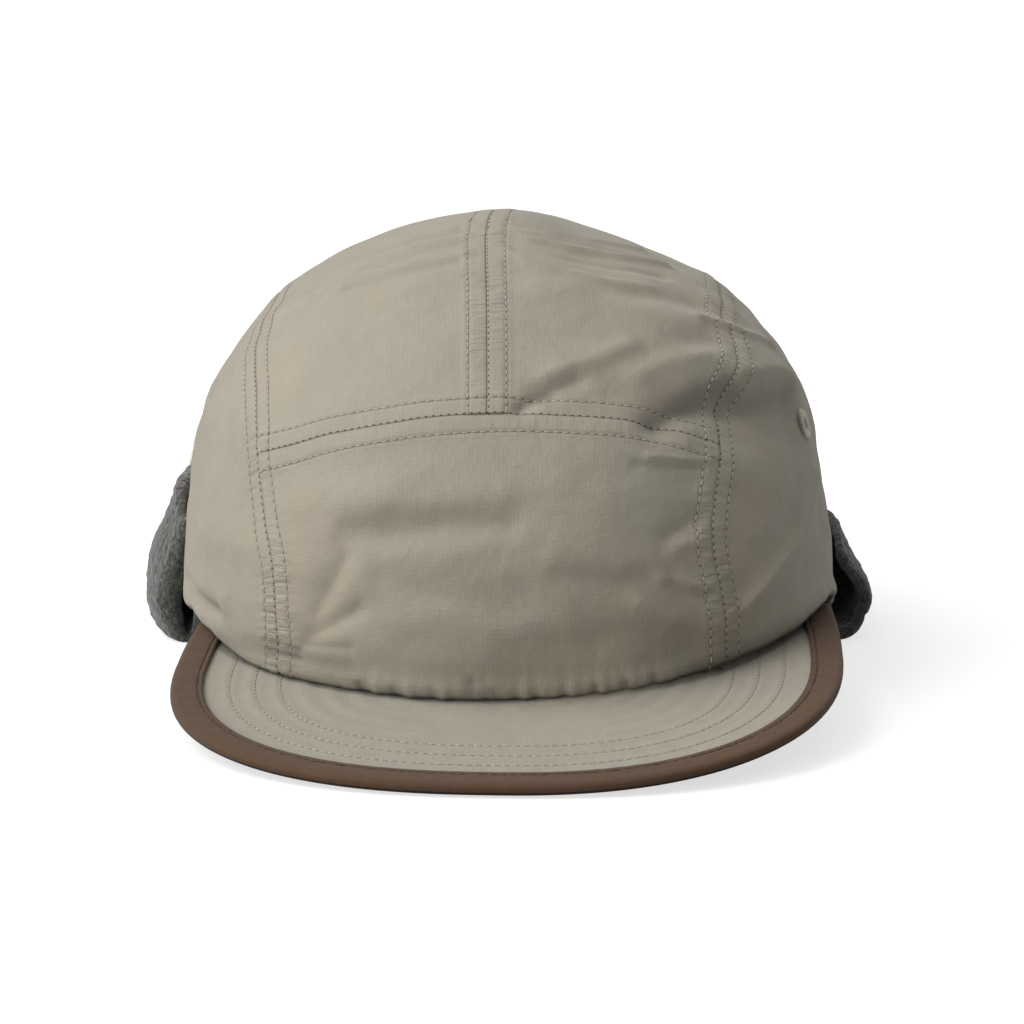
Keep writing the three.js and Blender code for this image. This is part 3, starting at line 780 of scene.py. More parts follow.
@dataclass(frozen=True)
class FelledSeam:
    """A seam of three rows of stitches, with doubled cloth standing up a little between them.

    Attributes:
        row: How far the outer rows lie from the middle one.
        band: How far the doubled cloth stands up.
        groove: How deep the middle is drawn in.
        dent: How deep each outer row is drawn in.
        pucker: How far the cloth puckers between the rows.
        ticks: How strong the finest puckers are.
        seed: Picks the puckers.
        strong: Lengths of the seam with stronger puckers, as (from, to, how much).
    """

    row: float = 4.4
    band: float = 0.3
    groove: float = 0.15
    dent: float = 0.24
    pucker: float = 0.1
    ticks: float = 0.5
    seed: int = 1
    strong: tuple[Point, ...] = ()

    def strength(self, along: Array) -> Array:
        """How strongly the cloth is drawn in along the seam."""
        draw = np.random.default_rng(self.seed + 100)
        slow = np.sin(along / 9 + draw.uniform(0, 6)) * np.sin(along / 23 + draw.uniform(0, 6))
        strength = 0.7 + 0.45 * slow
        for start, end, more in self.strong:
            part = smoothstep(along, start - 4, start + 4) * (1 - smoothstep(along, end - 4, end + 4))
            strength = strength + more * part
        return strength

    def puckers(self, along: Array) -> Array:
        """The puckers' waves along the seam."""
        draw = np.random.default_rng(self.seed)
        total = np.zeros_like(along)
        for length, share in ((2.4, 0.5), (3.3, 0.6), (4.9, 0.6), (8.3, 0.5)):
            bend = 0.8 * np.sin(along / (3.1 * length) + draw.uniform(0, 6))
            total += share * np.sin(2 * math.pi * along / length + bend * 2 + draw.uniform(0, 6))
        return total * self.strength(along)

    def rise(self, away: Array, along: Array) -> Array:
        """How far the cloth rises at a distance from the seam's middle and a length along it."""
        band = self.band * (1 - smoothstep(away, self.row - 0.3, self.row + 2.2))
        groove = self.groove * np.exp(-((away / 0.6) ** 1.6))
        dent = self.dent * np.exp(-(((away - self.row) / 0.6) ** 2))
        inside = np.sin(math.pi * np.clip(away / self.row, 0, 1)) * (away < self.row)
        beyond = smoothstep(away, self.row, self.row + 1.0) * np.exp(-(away - self.row) / 2.6)
        return band - groove - dent + self.pucker * self.puckers(along) * (inside + 0.75 * beyond)

    def shade(self, away: Array) -> Array:
        """How much painted shade darkens the seam's middle and its rows, at a distance from its middle."""
        return 0.15 * np.exp(-((away / 0.4) ** 2)) + 0.16 * np.exp(-(((away - self.row) / 0.4) ** 2))


FAR_SHARE = 9.0


@dataclass
class ClothGrid:
    """A piece of cloth as rows and columns of points, with its outward directions and its cut's places.

    Attributes:
        points: Where the cloth lies.
        normals: Its outward directions.
        cut: The place of each point on the flat cut.
        shade: How much painted shade darkens each point, from 0 to 1: in creases, along seams and rows of
            stitches, and where parts meet.
        seam: How far each point lies from the nearest seam, as a share of the way to its outer row, and
            how far along that seam.
        drawn: How strongly the seams draw the cloth into fine puckers at each point.
    """

    points: Array
    normals: Array
    cut: Array
    shade: Array
    seam: Array | None = None
    drawn: Array | None = None

    def line_at(self, away: Array, distance: float, axis: int) -> tuple[Array, Array]:
        """The line where a measured distance has one value.

        Args:
            away: The distance at each point, which grows along the axis.
            distance: The value to find.
            axis: 0 where it grows from row to row, 1 from column to column.

        Returns:
            The line's points and outward directions.
        """
        points, normals = self.points, self.normals
        if axis == 0:
            points, normals, away = points.swapaxes(0, 1), normals.swapaxes(0, 1), away.T
        after = np.clip((away >= distance).argmax(axis=1), 1, away.shape[1] - 1)
        kept = away.max(axis=1) > distance
        rows = np.arange(len(away))
        low, high = away[rows, after - 1], away[rows, after]
        share = np.clip((distance - low) / np.maximum(high - low, TINY), 0, 1)[:, None]
        line = lerp(points[rows, after - 1], points[rows, after], share)
        out = unit(lerp(normals[rows, after - 1], normals[rows, after], share))
        return line[kept], out[kept]

    def line_before(self, away: Array, distance: float, axis: int) -> tuple[Array, Array]:
        """The line at a distance that is measured from the last row or column."""
        turned = ClothGrid(np.flip(self.points, axis), np.flip(self.normals, axis), self.cut, self.shade)
        return turned.line_at(np.flip(away, axis), distance, axis)


class MeshMaker:
    """Makes pieces of cloth from grids, and gives each finished piece its place in the frame."""

    @staticmethod
    def to_frame(points: Array) -> Array:
        """Points about the crown's axis in millimetres, as metres in the frame."""
        return (points + np.asarray(CROWN_AXIS)) * MM

    @staticmethod
    def piece(name: str, bm: BMesh, materials: Sequence[Material]) -> Object:
        """Makes an object of a finished bmesh in the frame, which is freed. It rides on the one body."""
        mesh = bpy.data.meshes.new(name)
        bm.to_mesh(mesh)
        bm.free()
        for material in materials:
            mesh.materials.append(material)
        mesh.polygons.foreach_set("use_smooth", [True] * len(mesh.polygons))
        made = bpy.data.objects.new(name, mesh)
        bpy.context.scene.collection.objects.link(made)
        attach(made, "root")
        return made

    @classmethod
    def cloth(
        cls,
        name: str,
        grid: ClothGrid,
        material: Material,
        hole: tuple[Array, float] | None = None,
        close: bool = False,
    ) -> Object:
        """Lays a flat grid over a piece of cloth's points.

        Args:
            name: The piece's name.
            grid: Where the cloth lies.
            material: Its material.
            hole: The middle and radius of a hole cut in it.
            close: Whether its first and last columns are joined.

        Returns:
            The object.
        """
        rows, columns = grid.points.shape[:2]
        bm = bmesh.new()
        bmesh.ops.create_grid(bm, x_segments=columns - 1, y_segments=rows - 1, size=1)
        flat = np.array([v.co[:2] for v in bm.verts])
        column, row = np.rint((flat.T + 1) / 2 * [[columns - 1], [rows - 1]]).astype(int)
        placed = cls.to_frame(grid.points)[row, column]
        uv = bm.loops.layers.uv.new("cut")
        nearest = bm.loops.layers.uv.new("seam")
        seam = np.full((rows, columns, 2), FAR_SHARE) if grid.seam is None else grid.seam
        # The crease layer carries each point's painted shade, by which the cloth's material darkens.
        shade = bm.verts.layers.float.new("crease")
        drawn = bm.verts.layers.float.new("drawn")
        strength = np.zeros((rows, columns)) if grid.drawn is None else grid.drawn
        for vert, co, r, c in zip(bm.verts, placed, row, column):
            vert.co = co
            vert[shade] = grid.shade[r, c]
            vert[drawn] = strength[r, c]
        for face in bm.faces:
            for loop in face.loops:
                i = loop.vert.index
                loop[uv].uv = grid.cut[row[i], column[i]]
                loop[nearest].uv = seam[row[i], column[i]]
        bm.normal_update()
        out = grid.normals[row, column]
        if sum(face.normal.dot(Vector(out[face.verts[0].index])) for face in list(bm.faces)[::40]) < 0:
            bmesh.ops.reverse_faces(bm, faces=bm.faces)
        if hole is not None:
            centre, radius = Vector(cls.to_frame(hole[0])), hole[1] * MM
            inside = [f for f in bm.faces if (f.calc_center_median() - centre).length < radius]
            bmesh.ops.delete(bm, geom=inside, context="FACES")
        if close:
            bmesh.ops.remove_doubles(bm, verts=bm.verts, dist=1e-6)
        return cls.piece(name, bm, [material])

    @staticmethod
    def thicken(made: Object, thickness: float) -> None:
        """Gives cloth its thickness, inwards from its face."""
        wall = made.modifiers.new("cloth", "SOLIDIFY")
        wall.thickness = thickness * MM
        wall.offset = -1
        wall.use_rim = True
        wall.use_even_offset = False


class Nodes:
    """A short way to fill a node tree."""

    def __init__(self, tree: NodeTree) -> None:
        """Takes the tree to fill."""
        self.tree = tree

    @classmethod
    def for_material(cls, name: str) -> tuple[Material, "Nodes"]:
        """A new material, and its tree to fill."""
        material = bpy.data.materials.new(name)
        material.use_nodes = True
        material.node_tree.nodes.clear()
        return material, cls(material.node_tree)

    def add(self, kind: str, inputs: dict | None = None, **settings: object) -> Node:
        """Adds a node.

        Args:
            kind: Its type, without the part "ShaderNode".
            inputs: Its inputs by name or number, each a value or another node's output.
            **settings: Its own settings.

        Returns:
            The node.
        """
        node = self.tree.nodes.new(kind if kind.startswith("Node") else f"ShaderNode{kind}")
        for name, value in settings.items():
            setattr(node, name, value)
        for key, value in (inputs or {}).items():
            if isinstance(value, NodeSocket):
                self.tree.links.new(value, node.inputs[key])
            else:
                node.inputs[key].default_value = value
        return node

    def math(self, operation: str, *values: object) -> NodeSocket:
        """The result of a calculation with one, two or three values."""
        return self.add("Math", dict(enumerate(values)), operation=operation).outputs[0]

    def mix(self, share: object, a: object, b: object) -> NodeSocket:
        """A mix of two colours."""
        return self.add("Mix", {"Factor": share, 6: a, 7: b}, data_type="RGBA").outputs[2]

    def scaled(self, colour: object, times: object) -> NodeSocket:
        """A colour, or a place, with each of its parts multiplied."""
        return self.add("VectorMath", {0: colour, "Scale": times}, operation="SCALE").outputs[0]

    def ramp(
        self, value: object, low: float, high: object, at_low: float = 0.0, at_high: float = 1.0
    ) -> NodeSocket:
        """A value moved smoothly from one range into another, and kept there."""
        inputs = {0: value, 1: low, 2: high, 3: at_low, 4: at_high}
        return self.add("MapRange", inputs, interpolation_type="SMOOTHSTEP").outputs[0]

    def noise(self, place: object, scale: object, detail: float, **more: float) -> NodeSocket:
        """Soft noise from 0 to 1, with its other inputs by name."""
        inputs = {"Vector": place, "Scale": scale, "Detail": detail}
        inputs.update({name.capitalize(): value for name, value in more.items()})
        return self.add("TexNoise", inputs).outputs["Fac"]

    def bump(
        self, height: object, strength: float, distance: float, under: object = None
    ) -> NodeSocket:
        """A normal with a relief on it, over another normal where one is given."""
        inputs = {"Strength": strength, "Distance": distance, "Height": height}
        if under is not None:
            inputs["Normal"] = under
        return self.add("Bump", inputs).outputs[0]

    def surface(self, inputs: dict) -> None:
        """Adds the surface's shader and joins it to the material's output."""
        shader = self.add("BsdfPrincipled", inputs)
        self.add("OutputMaterial", {"Surface": shader.outputs[0]})


class Effects:
    """The node groups that several finishes share, each built once."""

    def __init__(self) -> None:
        """Builds the groups."""
        self.weave = self._weave()
        self.patches = self._patches()
        self.puckers = self._puckers()

    @staticmethod
    def _group(
        name: str, inputs: Sequence[tuple[str, float | None]], outputs: Sequence[str]
    ) -> tuple[Nodes, Node, Node]:
        """Makes an empty group with named sockets.

        Args:
            name: The group's name.
            inputs: The name of each input, with its usual value, or None where it takes a place.
            outputs: The names of the values that it gives.

        Returns:
            Its tree to fill, with its input and output nodes.
        """
        tree = bpy.data.node_groups.new(name, "ShaderNodeTree")
        for label, value in inputs:
            kind = "NodeSocketVector" if value is None else "NodeSocketFloat"
            socket = tree.interface.new_socket(label, in_out="INPUT", socket_type=kind)
            if value is not None:
                socket.default_value = value
        for label in outputs:
            tree.interface.new_socket(label, in_out="OUTPUT", socket_type="NodeSocketFloat")
        nodes = Nodes(tree)
        return nodes, nodes.add("NodeGroupInput"), nodes.add("NodeGroupOutput")

    def _weave(self) -> NodeTree:
        """A plain weave with a thicker thread every so often both ways, as in ripstop."""
        inputs = (("Cut", None), ("Thread pitch", 0.34), ("Grid pitch", 1.1), ("Grid line", 0.13))
        n, given, result = self._group("ripstop_weave", inputs, ("Threads", "Grid"))
        wobble = n.add("TexNoise", {"Vector": given.outputs["Cut"], "Scale": 0.35, "Detail": 1.0})
        moved = n.scaled(wobble.outputs["Color"], 0.7)
        cut = n.add("VectorMath", {0: given.outputs["Cut"], 1: moved}, operation="ADD").outputs[0]
        split = n.add("SeparateXYZ", {0: cut})
        waves, lines = [], []
        for axis in (0, 1):
            turns = n.math("DIVIDE", split.outputs[axis], given.outputs["Thread pitch"])
            waves.append(n.math("SINE", n.math("MULTIPLY", turns, 2 * math.pi)))
            cells = n.math("DIVIDE", split.outputs[axis], given.outputs["Grid pitch"])
            away = n.math("ABSOLUTE", n.math("SUBTRACT", n.math("FRACT", cells), 0.5))
            lines.append(n.ramp(away, 0.0, given.outputs["Grid line"], 1.0, 0.0))
        n.tree.links.new(n.math("MULTIPLY", *waves), result.inputs["Threads"])
        n.tree.links.new(n.math("MAXIMUM", *lines), result.inputs["Grid"])
        return n.tree

    def _puckers(self) -> NodeTree:
        """Fine ticks of drawn-in cloth that run across a seam, between its outer rows and a little beyond."""
        inputs = (("Seam", None), ("Pitch", 1.1), ("Strength", 1.0))
        n, given, result = self._group("seam_puckers", inputs, ("Height",))
        split = n.add("SeparateXYZ", {0: given.outputs["Seam"]})
        across = n.math("MULTIPLY", split.outputs[0], 0.7)
        along = n.math("DIVIDE", split.outputs[1], given.outputs["Pitch"])
        place = n.add("CombineXYZ", {0: across, 1: along}).outputs[0]
        wave = n.math("SUBTRACT", n.noise(place, 0.8, 2.0, roughness=0.6), 0.5)
        n.tree.links.new(n.math("MULTIPLY", wave, given.outputs["Strength"]), result.inputs["Height"])
        return n.tree

    def _patches(self) -> NodeTree:
        """Broad and small soft patches, from 0 to 1, by the place on the cap."""
        inputs = (("Place", None), ("Size", 30.0))
        n, given, result = self._group("soft_patches", inputs, ("Broad", "Small"))
        for name, times in (("Broad", 1.0), ("Small", 7.0)):
            scale = n.math("MULTIPLY", given.outputs["Size"], times)
            noise = n.noise(given.outputs["Place"], scale, 3.0)
            n.tree.links.new(n.ramp(noise, 0.3, 0.7), result.inputs[name])
        return n.tree


def linear(red: float, green: float, blue: float) -> Colour:
    """A colour as a picture shows it, from 0 to 255, made linear for a shader."""
    parts = [c / 255 for c in (red, green, blue)]
    made = [c / 12.92 if c <= 0.04045 else ((c + 0.055) / 1.055) ** 2.4 for c in parts]
    return (*made, 1.0)


@dataclass(frozen=True)
class WovenFinish:
    """A thin woven cloth, with a grid of thicker threads.

    Attributes:
        warm: Its colour in warmer patches.
        grid_dark: How much the thicker threads darken it.
        grid_line: Half the share of a cell that a thicker thread takes.
        relief: How strongly the weave shows as relief.
        painted_shade_dark: How much painted shade darkens it, in a deep crease, along seams and rows of
            stitches, and where parts meet.
        patches_per_metre: How small its patches are.
    """

    name: str
    colour: Colour
    warm: Colour
    grid_dark: float = 0.1
    thread_pitch: float = 0.34
    grid_pitch: float = 1.1
    grid_line: float = 0.17
    relief: float = 0.25
    painted_shade_dark: float = 0.88
    patches_per_metre: float = 26.0
    roughness: float = 0.6
    sheen: float = 0.25

    def make(self, effects: Effects) -> Material:
        """Makes the material, with the node groups that it shares."""
        material, n = Nodes.for_material(self.name)
        place = n.add("TexCoord").outputs["Object"]
        cloth = {
            "Cut": n.add("UVMap", uv_map="cut").outputs["UV"],
            "Thread pitch": self.thread_pitch,
            "Grid pitch": self.grid_pitch,
            "Grid line": self.grid_line,
        }
        woven = n.add("Group", cloth, node_tree=effects.weave).outputs
        patches = {"Place": place, "Size": self.patches_per_metre}
        spots = n.add("Group", patches, node_tree=effects.patches).outputs
        seam = {
            "Seam": n.add("UVMap", uv_map="seam").outputs["UV"],
            "Strength": n.add("Attribute", attribute_name="drawn").outputs["Fac"],
        }
        drawn = n.add("Group", seam, node_tree=effects.puckers).outputs["Height"]
        light = n.math("MULTIPLY_ADD", spots["Small"], 0.05, 0.975)
        light = n.math("MULTIPLY", light, n.math("MULTIPLY_ADD", woven["Grid"], -self.grid_dark, 1.0))
        light = n.math("MULTIPLY", light, n.math("MULTIPLY_ADD", woven["Threads"], 0.06, 1.0))
        # Painted shade: the crease layer darkens the base colour.
        crease = n.add("Attribute", attribute_name="crease").outputs["Fac"]
        light = n.math("MULTIPLY", light, n.math("MULTIPLY_ADD", crease, -self.painted_shade_dark, 1.0))
        colour = n.mix(spots["Broad"], self.colour, self.warm)
        threads = n.math("MULTIPLY_ADD", woven["Grid"], 1.4, woven["Threads"])
        normal = n.bump(threads, self.relief, 0.00012)
        normal = n.bump(n.noise(place, 420.0, 3.0, roughness=0.55), 0.22, 0.0006, normal)
        normal = n.bump(drawn, 1.0, 0.0011, normal)
        normal = n.bump(n.noise(place, 150.0, 2.5, distortion=0.2), 0.3, 0.0012, normal)
        n.surface({
            "Base Color": n.scaled(colour, light),
            "Roughness": n.math("MULTIPLY_ADD", spots["Small"], 0.12, self.roughness - 0.06),
            "Normal": normal,
            "Specular IOR Level": 0.35,
            "Sheen Weight": self.sheen,
            "Sheen Roughness": 0.4,
        })
        return material


@dataclass(frozen=True)
class PlainFinish:
    """A small smooth part in one colour, with slight patches."""

    name: str
    colour: Colour
    roughness: float = 0.55
    patches_per_metre: float = 900.0

    def make(self, effects: Effects) -> Material:
        """Makes the material, with the node group of the soft patches."""
        material, n = Nodes.for_material(self.name)
        patches = {"Place": n.add("TexCoord").outputs["Object"], "Size": self.patches_per_metre}
        spots = n.add("Group", patches, node_tree=effects.patches).outputs
        light = n.math("MULTIPLY_ADD", spots["Broad"], 0.24, 0.88)
        n.surface({"Base Color": n.scaled(self.colour[:3], light), "Roughness": self.roughness})
        return material


@dataclass(frozen=True)
class FleeceFinish:
    """Brushed fleece of mixed dark and light fibres."""

    name: str
    dark: Colour
    light: Colour

    def make(self) -> Material:
        """Makes the material."""
        material, n = Nodes.for_material(self.name)
        place = n.add("TexCoord").outputs["Object"]
        tufts = n.noise(place, 650.0, 4.0, roughness=0.65)
        fibres = n.noise(place, 2600.0, 2.0)
        mixed = n.math("MULTIPLY_ADD", fibres, 0.5, n.math("MULTIPLY", tufts, 0.75))
        clumps = n.add("TexVoronoi", {"Vector": place, "Scale": 800.0}, feature="SMOOTH_F1")
        height = n.math("MULTIPLY_ADD", clumps.outputs["Distance"], 0.6, tufts)
        n.surface({
            "Base Color": n.mix(n.ramp(mixed, 0.46, 0.78), self.dark, self.light),
            "Roughness": 1.0,
            "Normal": n.bump(height, 0.9, 0.0011),
            "Specular IOR Level": 0.1,
            "Sheen Weight": 0.5,
            "Sheen Roughness": 0.6,
        })
        return material


class Finishes:
    """Every finish of the cap, made once."""

    def __init__(self) -> None:
        """Makes the node groups and the materials."""
        effects = Effects()
        shell = WovenFinish("crown_cloth", linear(153, 148, 135), linear(158, 150, 135), grid_dark=0.07)
        brim = WovenFinish("brim_cloth", linear(151, 147, 134), linear(154, 147, 134), grid_dark=0.06)
        tape = WovenFinish(
            "tape_cloth",
            linear(80, 59, 40),
            linear(84, 60, 41),
            grid_dark=0.12,
            thread_pitch=0.5,
            grid_pitch=0.55,
            grid_line=0.3,
            roughness=0.75,
            sheen=0.15,
        )
        self.shell, self.brim, self.tape = (cloth.make(effects) for cloth in (shell, brim, tape))
        self.thread = PlainFinish("thread", linear(172, 167, 153), 0.45).make(effects)
        self.brown_thread = PlainFinish("brown_thread", linear(70, 56, 47), 0.6).make(effects)
        self.eyelet = PlainFinish("eyelet_thread", linear(212, 207, 195), 0.5).make(effects)
        # The needle holes are dark beads: painted shade in the pits where the needle went through.
        self.hole = PlainFinish("needle_hole_shade", linear(62, 58, 49), 0.95).make(effects)
        self.dark_hole_shade = PlainFinish("tape_needle_hole_shade", linear(36, 29, 25), 0.95).make(effects)
        self.fleece = FleeceFinish("fleece", linear(31, 32, 31), linear(82, 83, 81)).make()


@dataclass(frozen=True)
class StitchRow:
    """A row of lock stitches: a length of thread between each two needle holes.

    Attributes:
        points: The line that it follows, on the cloth.
        normals: The cloth's outward directions along it.
        pitch: From one stitch to the next.
        thread: How thick the thread is.
        hole: How wide a needle hole is.
        long: How many times longer a needle hole is than wide.
        lift: How far the thread's middle lies above the line.
        gap: The share of the pitch that the thread leaves free.
    """

    points: Array
    normals: Array
    pitch: float = 2.3
    thread: float = 0.36
    hole: float = 0.4
    long: float = 1.0
    lift: float = 0.06
    gap: float = 0.14

    def add_to(self, bm: BMesh) -> int:
        """Adds the row to a mesh, thread first and needle holes of painted shade second; returns the number
        of stitches.
        """
        at = arc_lengths(self.points[None], 1)[0]
        count = max(int(at[-1] / self.pitch), 1)
        shares = np.linspace(0, 1, 2 * count + 1)
        line = resample(self.points, shares)
        out = unit(np.stack([np.interp(shares, at / at[-1], part) for part in self.normals.T], axis=1))
        along = unit(np.gradient(line, axis=0))
        middles, ends = slice(1, None, 2), slice(0, None, 2)
        thread = np.array([self.pitch * (1 - self.gap), self.thread, self.thread])
        hole = self.hole * np.array([self.long, 1.0, 0.5])
        self._beads(bm, (line[middles], along[middles], out[middles]), thread, self.lift, 0)
        # Needle holes: small dark beads of painted shade.
        self._beads(bm, (line[ends], along[ends], out[ends]), hole, 0.0, 1)
        return count

    @staticmethod
    def _beads(
        bm: BMesh, seats: tuple[Array, Array, Array], size: Array, lift: float, slot: int
    ) -> None:
        """Adds a small rounded bead at each place.

        Args:
            bm: The mesh to add to.
            seats: The places, the directions of the beads' lengths, and the directions out of the cloth.
            size: The beads' length, width and height.
            lift: How far above the place each lies.
            slot: The beads' material.
        """
        at, along, out = seats
        beads = bmesh.new()
        side = unit(np.cross(out, along))
        up = np.cross(along, side)
        for place, a, s, u in zip(MeshMaker.to_frame(at + up * lift), along, side, up):
            turn = Matrix((a * size[0] * MM / 2, s * size[1] * MM / 2, u * size[2] * MM / 2)).transposed()
            matrix = Matrix.Translation(Vector(place)) @ turn.to_4x4()
            if slot == 0:
                bmesh.ops.create_uvsphere(beads, u_segments=6, v_segments=4, radius=1, matrix=matrix)
            else:
                bmesh.ops.create_icosphere(beads, subdivisions=1, radius=1, matrix=matrix)
        bmesh.ops.recalc_face_normals(beads, faces=beads.faces)
        for face in beads.faces:
            face.material_index = slot
        scratch = bpy.data.meshes.new("beads")
        beads.to_mesh(scratch)
        beads.free()
        bm.from_mesh(scratch)
        bpy.data.meshes.remove(scratch)


def stitch_piece(
    name: str, rows: Sequence[StitchRow], finishes: Sequence[Material]
) -> None:
    """Makes one piece of several rows of stitches.

    Args:
        name: The piece's name.
        rows: The rows.
        finishes: The materials of the thread and of the needle holes' painted shade.
    """
    bm = bmesh.new()
    count = sum(row.add_to(bm) for row in rows)
    made = MeshMaker.piece(name, bm, finishes)
    log.info("%s: %d stitches", name, count)


DITCH_INSET = 0.3
DITCH = {"pitch": 1.95, "thread": 0.3, "hole": 0.42, "long": 1.8, "lift": -0.02, "gap": 0.5}


@dataclass
class CrownPanel:
    """One cloth panel of the crown, which stands for a CAD node.

    Attributes:
        cloth: How thick it is.
        gap: Half the gap to the next panel.
        coarse: Its lines' distance away from seams.
        fine: Their distance near seams.
        near: How far from a seam they are close together.
        rim_shade: How far up the painted shade along its rim reaches, at the cap's middle and at its right.
        rows: Its rows of stitches.
    """

    node: str
    finish: Material
    cloth: float = 1.2
    gap: float = 0.02
    coarse: float = 1.15
    fine: float = 0.5
    near: float = 8.0
    rim_shade: tuple[float, float] = (0.7, 1.15)
    rows: list[StitchRow] = field(default_factory=list)

    def relief(
        self, points: Array, joined: Sequence[tuple[FelledSeam, Array, Array]], rim: Array
    ) -> ClothGrid:
        """Moves the smooth cloth by its folds and seams.

        Args:
            points: The smooth cloth.
            joined: Its seams, with the distance from each and the length along it at each point.
            rim: How far its rim raises it.

        Returns:
            The cloth, laid out flat by its own lengths.
        """
        rise, slide, shade = SOFT.move(points)
        out = CROWN.normal(points)
        x, y, z = np.moveaxis(points, -1, 0)
        # Painted shade: a dark line along the rim, where the crown meets the brim.
        rim_shade = lerp(*self.rim_shade, smoothstep(x, 0, 60))
        shade = shade + np.exp(-(((z - BRIM.rim(x, y)) / rim_shade) ** 2))
        nearest = np.full((*x.shape, 2), FAR_SHARE)
        second, drawn = np.full(x.shape, FAR_SHARE), np.zeros(x.shape)
        for seam, away, along in joined:
            along = np.broadcast_to(along, away.shape)
            rise = rise + seam.rise(away, along)
            # Painted shade along the seam's middle and its rows.
            shade = shade + seam.shade(away)
            share = away / seam.row
            closer = share < nearest[..., 0]
            second = np.where(closer, nearest[..., 0], np.minimum(second, share))
            drawn = np.where(closer, seam.ticks * seam.strength(along), drawn)
            nearest[closer] = np.stack([share, along + 400 * seam.seed], axis=-1)[closer]
        share = nearest[..., 0]
        drawn = drawn * (1 - smoothstep(share, 0.95, 1.5)) * smoothstep(second - share, 0.06, 0.4)
        moved = points + out * (rise + rim)[..., None] + SIDEWAYS * slide[..., None]
        across, up = arc_lengths(points, 1), arc_lengths(points, 0)
        middle = across[:, [across.shape[1] // 2]]
        cut = np.stack([across - middle, up], axis=-1)
        return ClothGrid(moved, self.true_normals(moved, out), cut, np.clip(shade, 0, 1), nearest, drawn)

    @staticmethod
    def true_normals(points: Array, rough: Array) -> Array:
        """The outward directions of a finished grid, on the same side as rough ones."""
        made = unit(np.cross(np.gradient(points, axis=1), np.gradient(points, axis=0)))
        same = np.sign((made * rough).sum(axis=-1, keepdims=True))
        return made * np.where(same == 0, 1, same)

    def build(self, grid: ClothGrid, hole: tuple[Array, float] | None = None) -> None:
        """Makes the panel's object, thickens its cloth and hides its CAD node."""
        made = MeshMaker.cloth(f"{self.node}_cloth", grid, self.finish, hole)
        MeshMaker.thicken(made, self.cloth)
        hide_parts(self.node)
        size = (grid.cut.max(axis=(0, 1)) - grid.cut.min(axis=(0, 1))) * MM
        area = sum(face.area for face in made.data.polygons)
        min(area, float(size.prod()))
        log.info("%s: %.0f by %.0f mm, %d faces", made.name, *(size / MM), len(made.data.polygons))


SIDE_SEAM_LEFT = FelledSeam(row=4.2, seed=21, strong=((0, 34, 0.9),))
SIDE_SEAM_RIGHT = FelledSeam(row=4.6, seed=22, strong=((8, 44, 0.7),))
CENTRE_SEAM = FelledSeam(row=4.9, seed=23, ticks=0.8)
BROW_SEAM = FelledSeam(row=5.0, seed=24, pucker=0.05, ticks=0.12)


@dataclass
class FrontPanel(CrownPanel):
    """The lower front panel, gathered on to the brim.

    Attributes:
        width: About how wide it is.
        height: About how high it is.
        guess_angle: An angle over the top that is about half way up it.
        gather: How far its gathers rise.
        gather_fade: How far up from the brim they fade away.
    """

    width: float = 128.0
    height: float = 84.0
    coarse: float = 0.713
    guess_angle: float = 25.0
    gather: float = 0.42
    gather_fade: float = 3.0

    def make(self) -> None:
        """Makes the panel and its rows of stitches."""
        across = stops(self.width, self.coarse, self.fine, self.near, self.near)[None, :]
        up = stops(self.height, self.coarse, self.fine, 5, self.near)[:, None]
        guess = lerp(SEAMS.x_at("left", self.guess_angle), SEAMS.x_at("right", self.guess_angle), across)
        foot = self.foot(guess)
        turn = math.degrees(self.gap / BROW_REACH)

        def x_at(angle: Array) -> Array:
            """The distance from the middle of each column."""
            left_x, right_x = SEAMS.x_at("left", angle), SEAMS.x_at("right", angle)
            return lerp(left_x + self.gap, right_x - self.gap, across)

        angle = lerp(foot, SEAMS.brow_angle(x_at) - turn, up)
        x = x_at(angle)
        angle = np.maximum(angle, self.foot(x))
        points = CROWN.over(x, angle)
        from_left, from_foot = arc_lengths(points, 1), arc_lengths(points, 0)
        from_right = from_left[:, -1:] - from_left
        from_brow = from_foot[-1:] - from_foot
        joined = (
            (SIDE_SEAM_LEFT, from_left, from_foot[:, :1]),
            (SIDE_SEAM_RIGHT, from_right, from_foot[:, -1:]),
            (BROW_SEAM, from_brow, from_left[-1:]),
        )
        grid = self.relief(points, joined, self.gathers(from_foot, from_left))
        self.rows = [
            StitchRow(*grid.line_at(from_left, SIDE_SEAM_LEFT.row, 1)),
            StitchRow(*grid.line_before(from_right, SIDE_SEAM_RIGHT.row, 1)),
            StitchRow(*grid.line_before(from_brow, BROW_SEAM.row, 0)),
        ]
        self.build(grid)

    @staticmethod
    def foot(x: Array) -> Array:
        """The angle over the top at which the panel meets the brim."""
        return found_angle(lambda a: CROWN.over(x, a), np.zeros_like(x), np.full_like(x, 40.0))

    def gathers(self, from_foot: Array, along: Array) -> Array:
        """The small gathers and the roll of the cloth where it meets the brim."""
        along = np.broadcast_to(along[:1], from_foot.shape)
        wave = np.sin(2 * math.pi * along / 7.3 + 1.7 * np.sin(along / 11))
        wave = wave + 0.6 * np.sin(2 * math.pi * along / 4.1 + 2.1 * np.sin(along / 17 + 1))
        share = smoothstep(along, 14, 30) * (1 - smoothstep(along, 96, 116))
        roll = 0.5 * np.exp(-(((from_foot - 3.2) / 2.4) ** 2)) - 1.0 * np.exp(-((from_foot / 0.9) ** 1.6))
        return roll + self.gather * share * wave * np.exp(-from_foot / self.gather_fade)


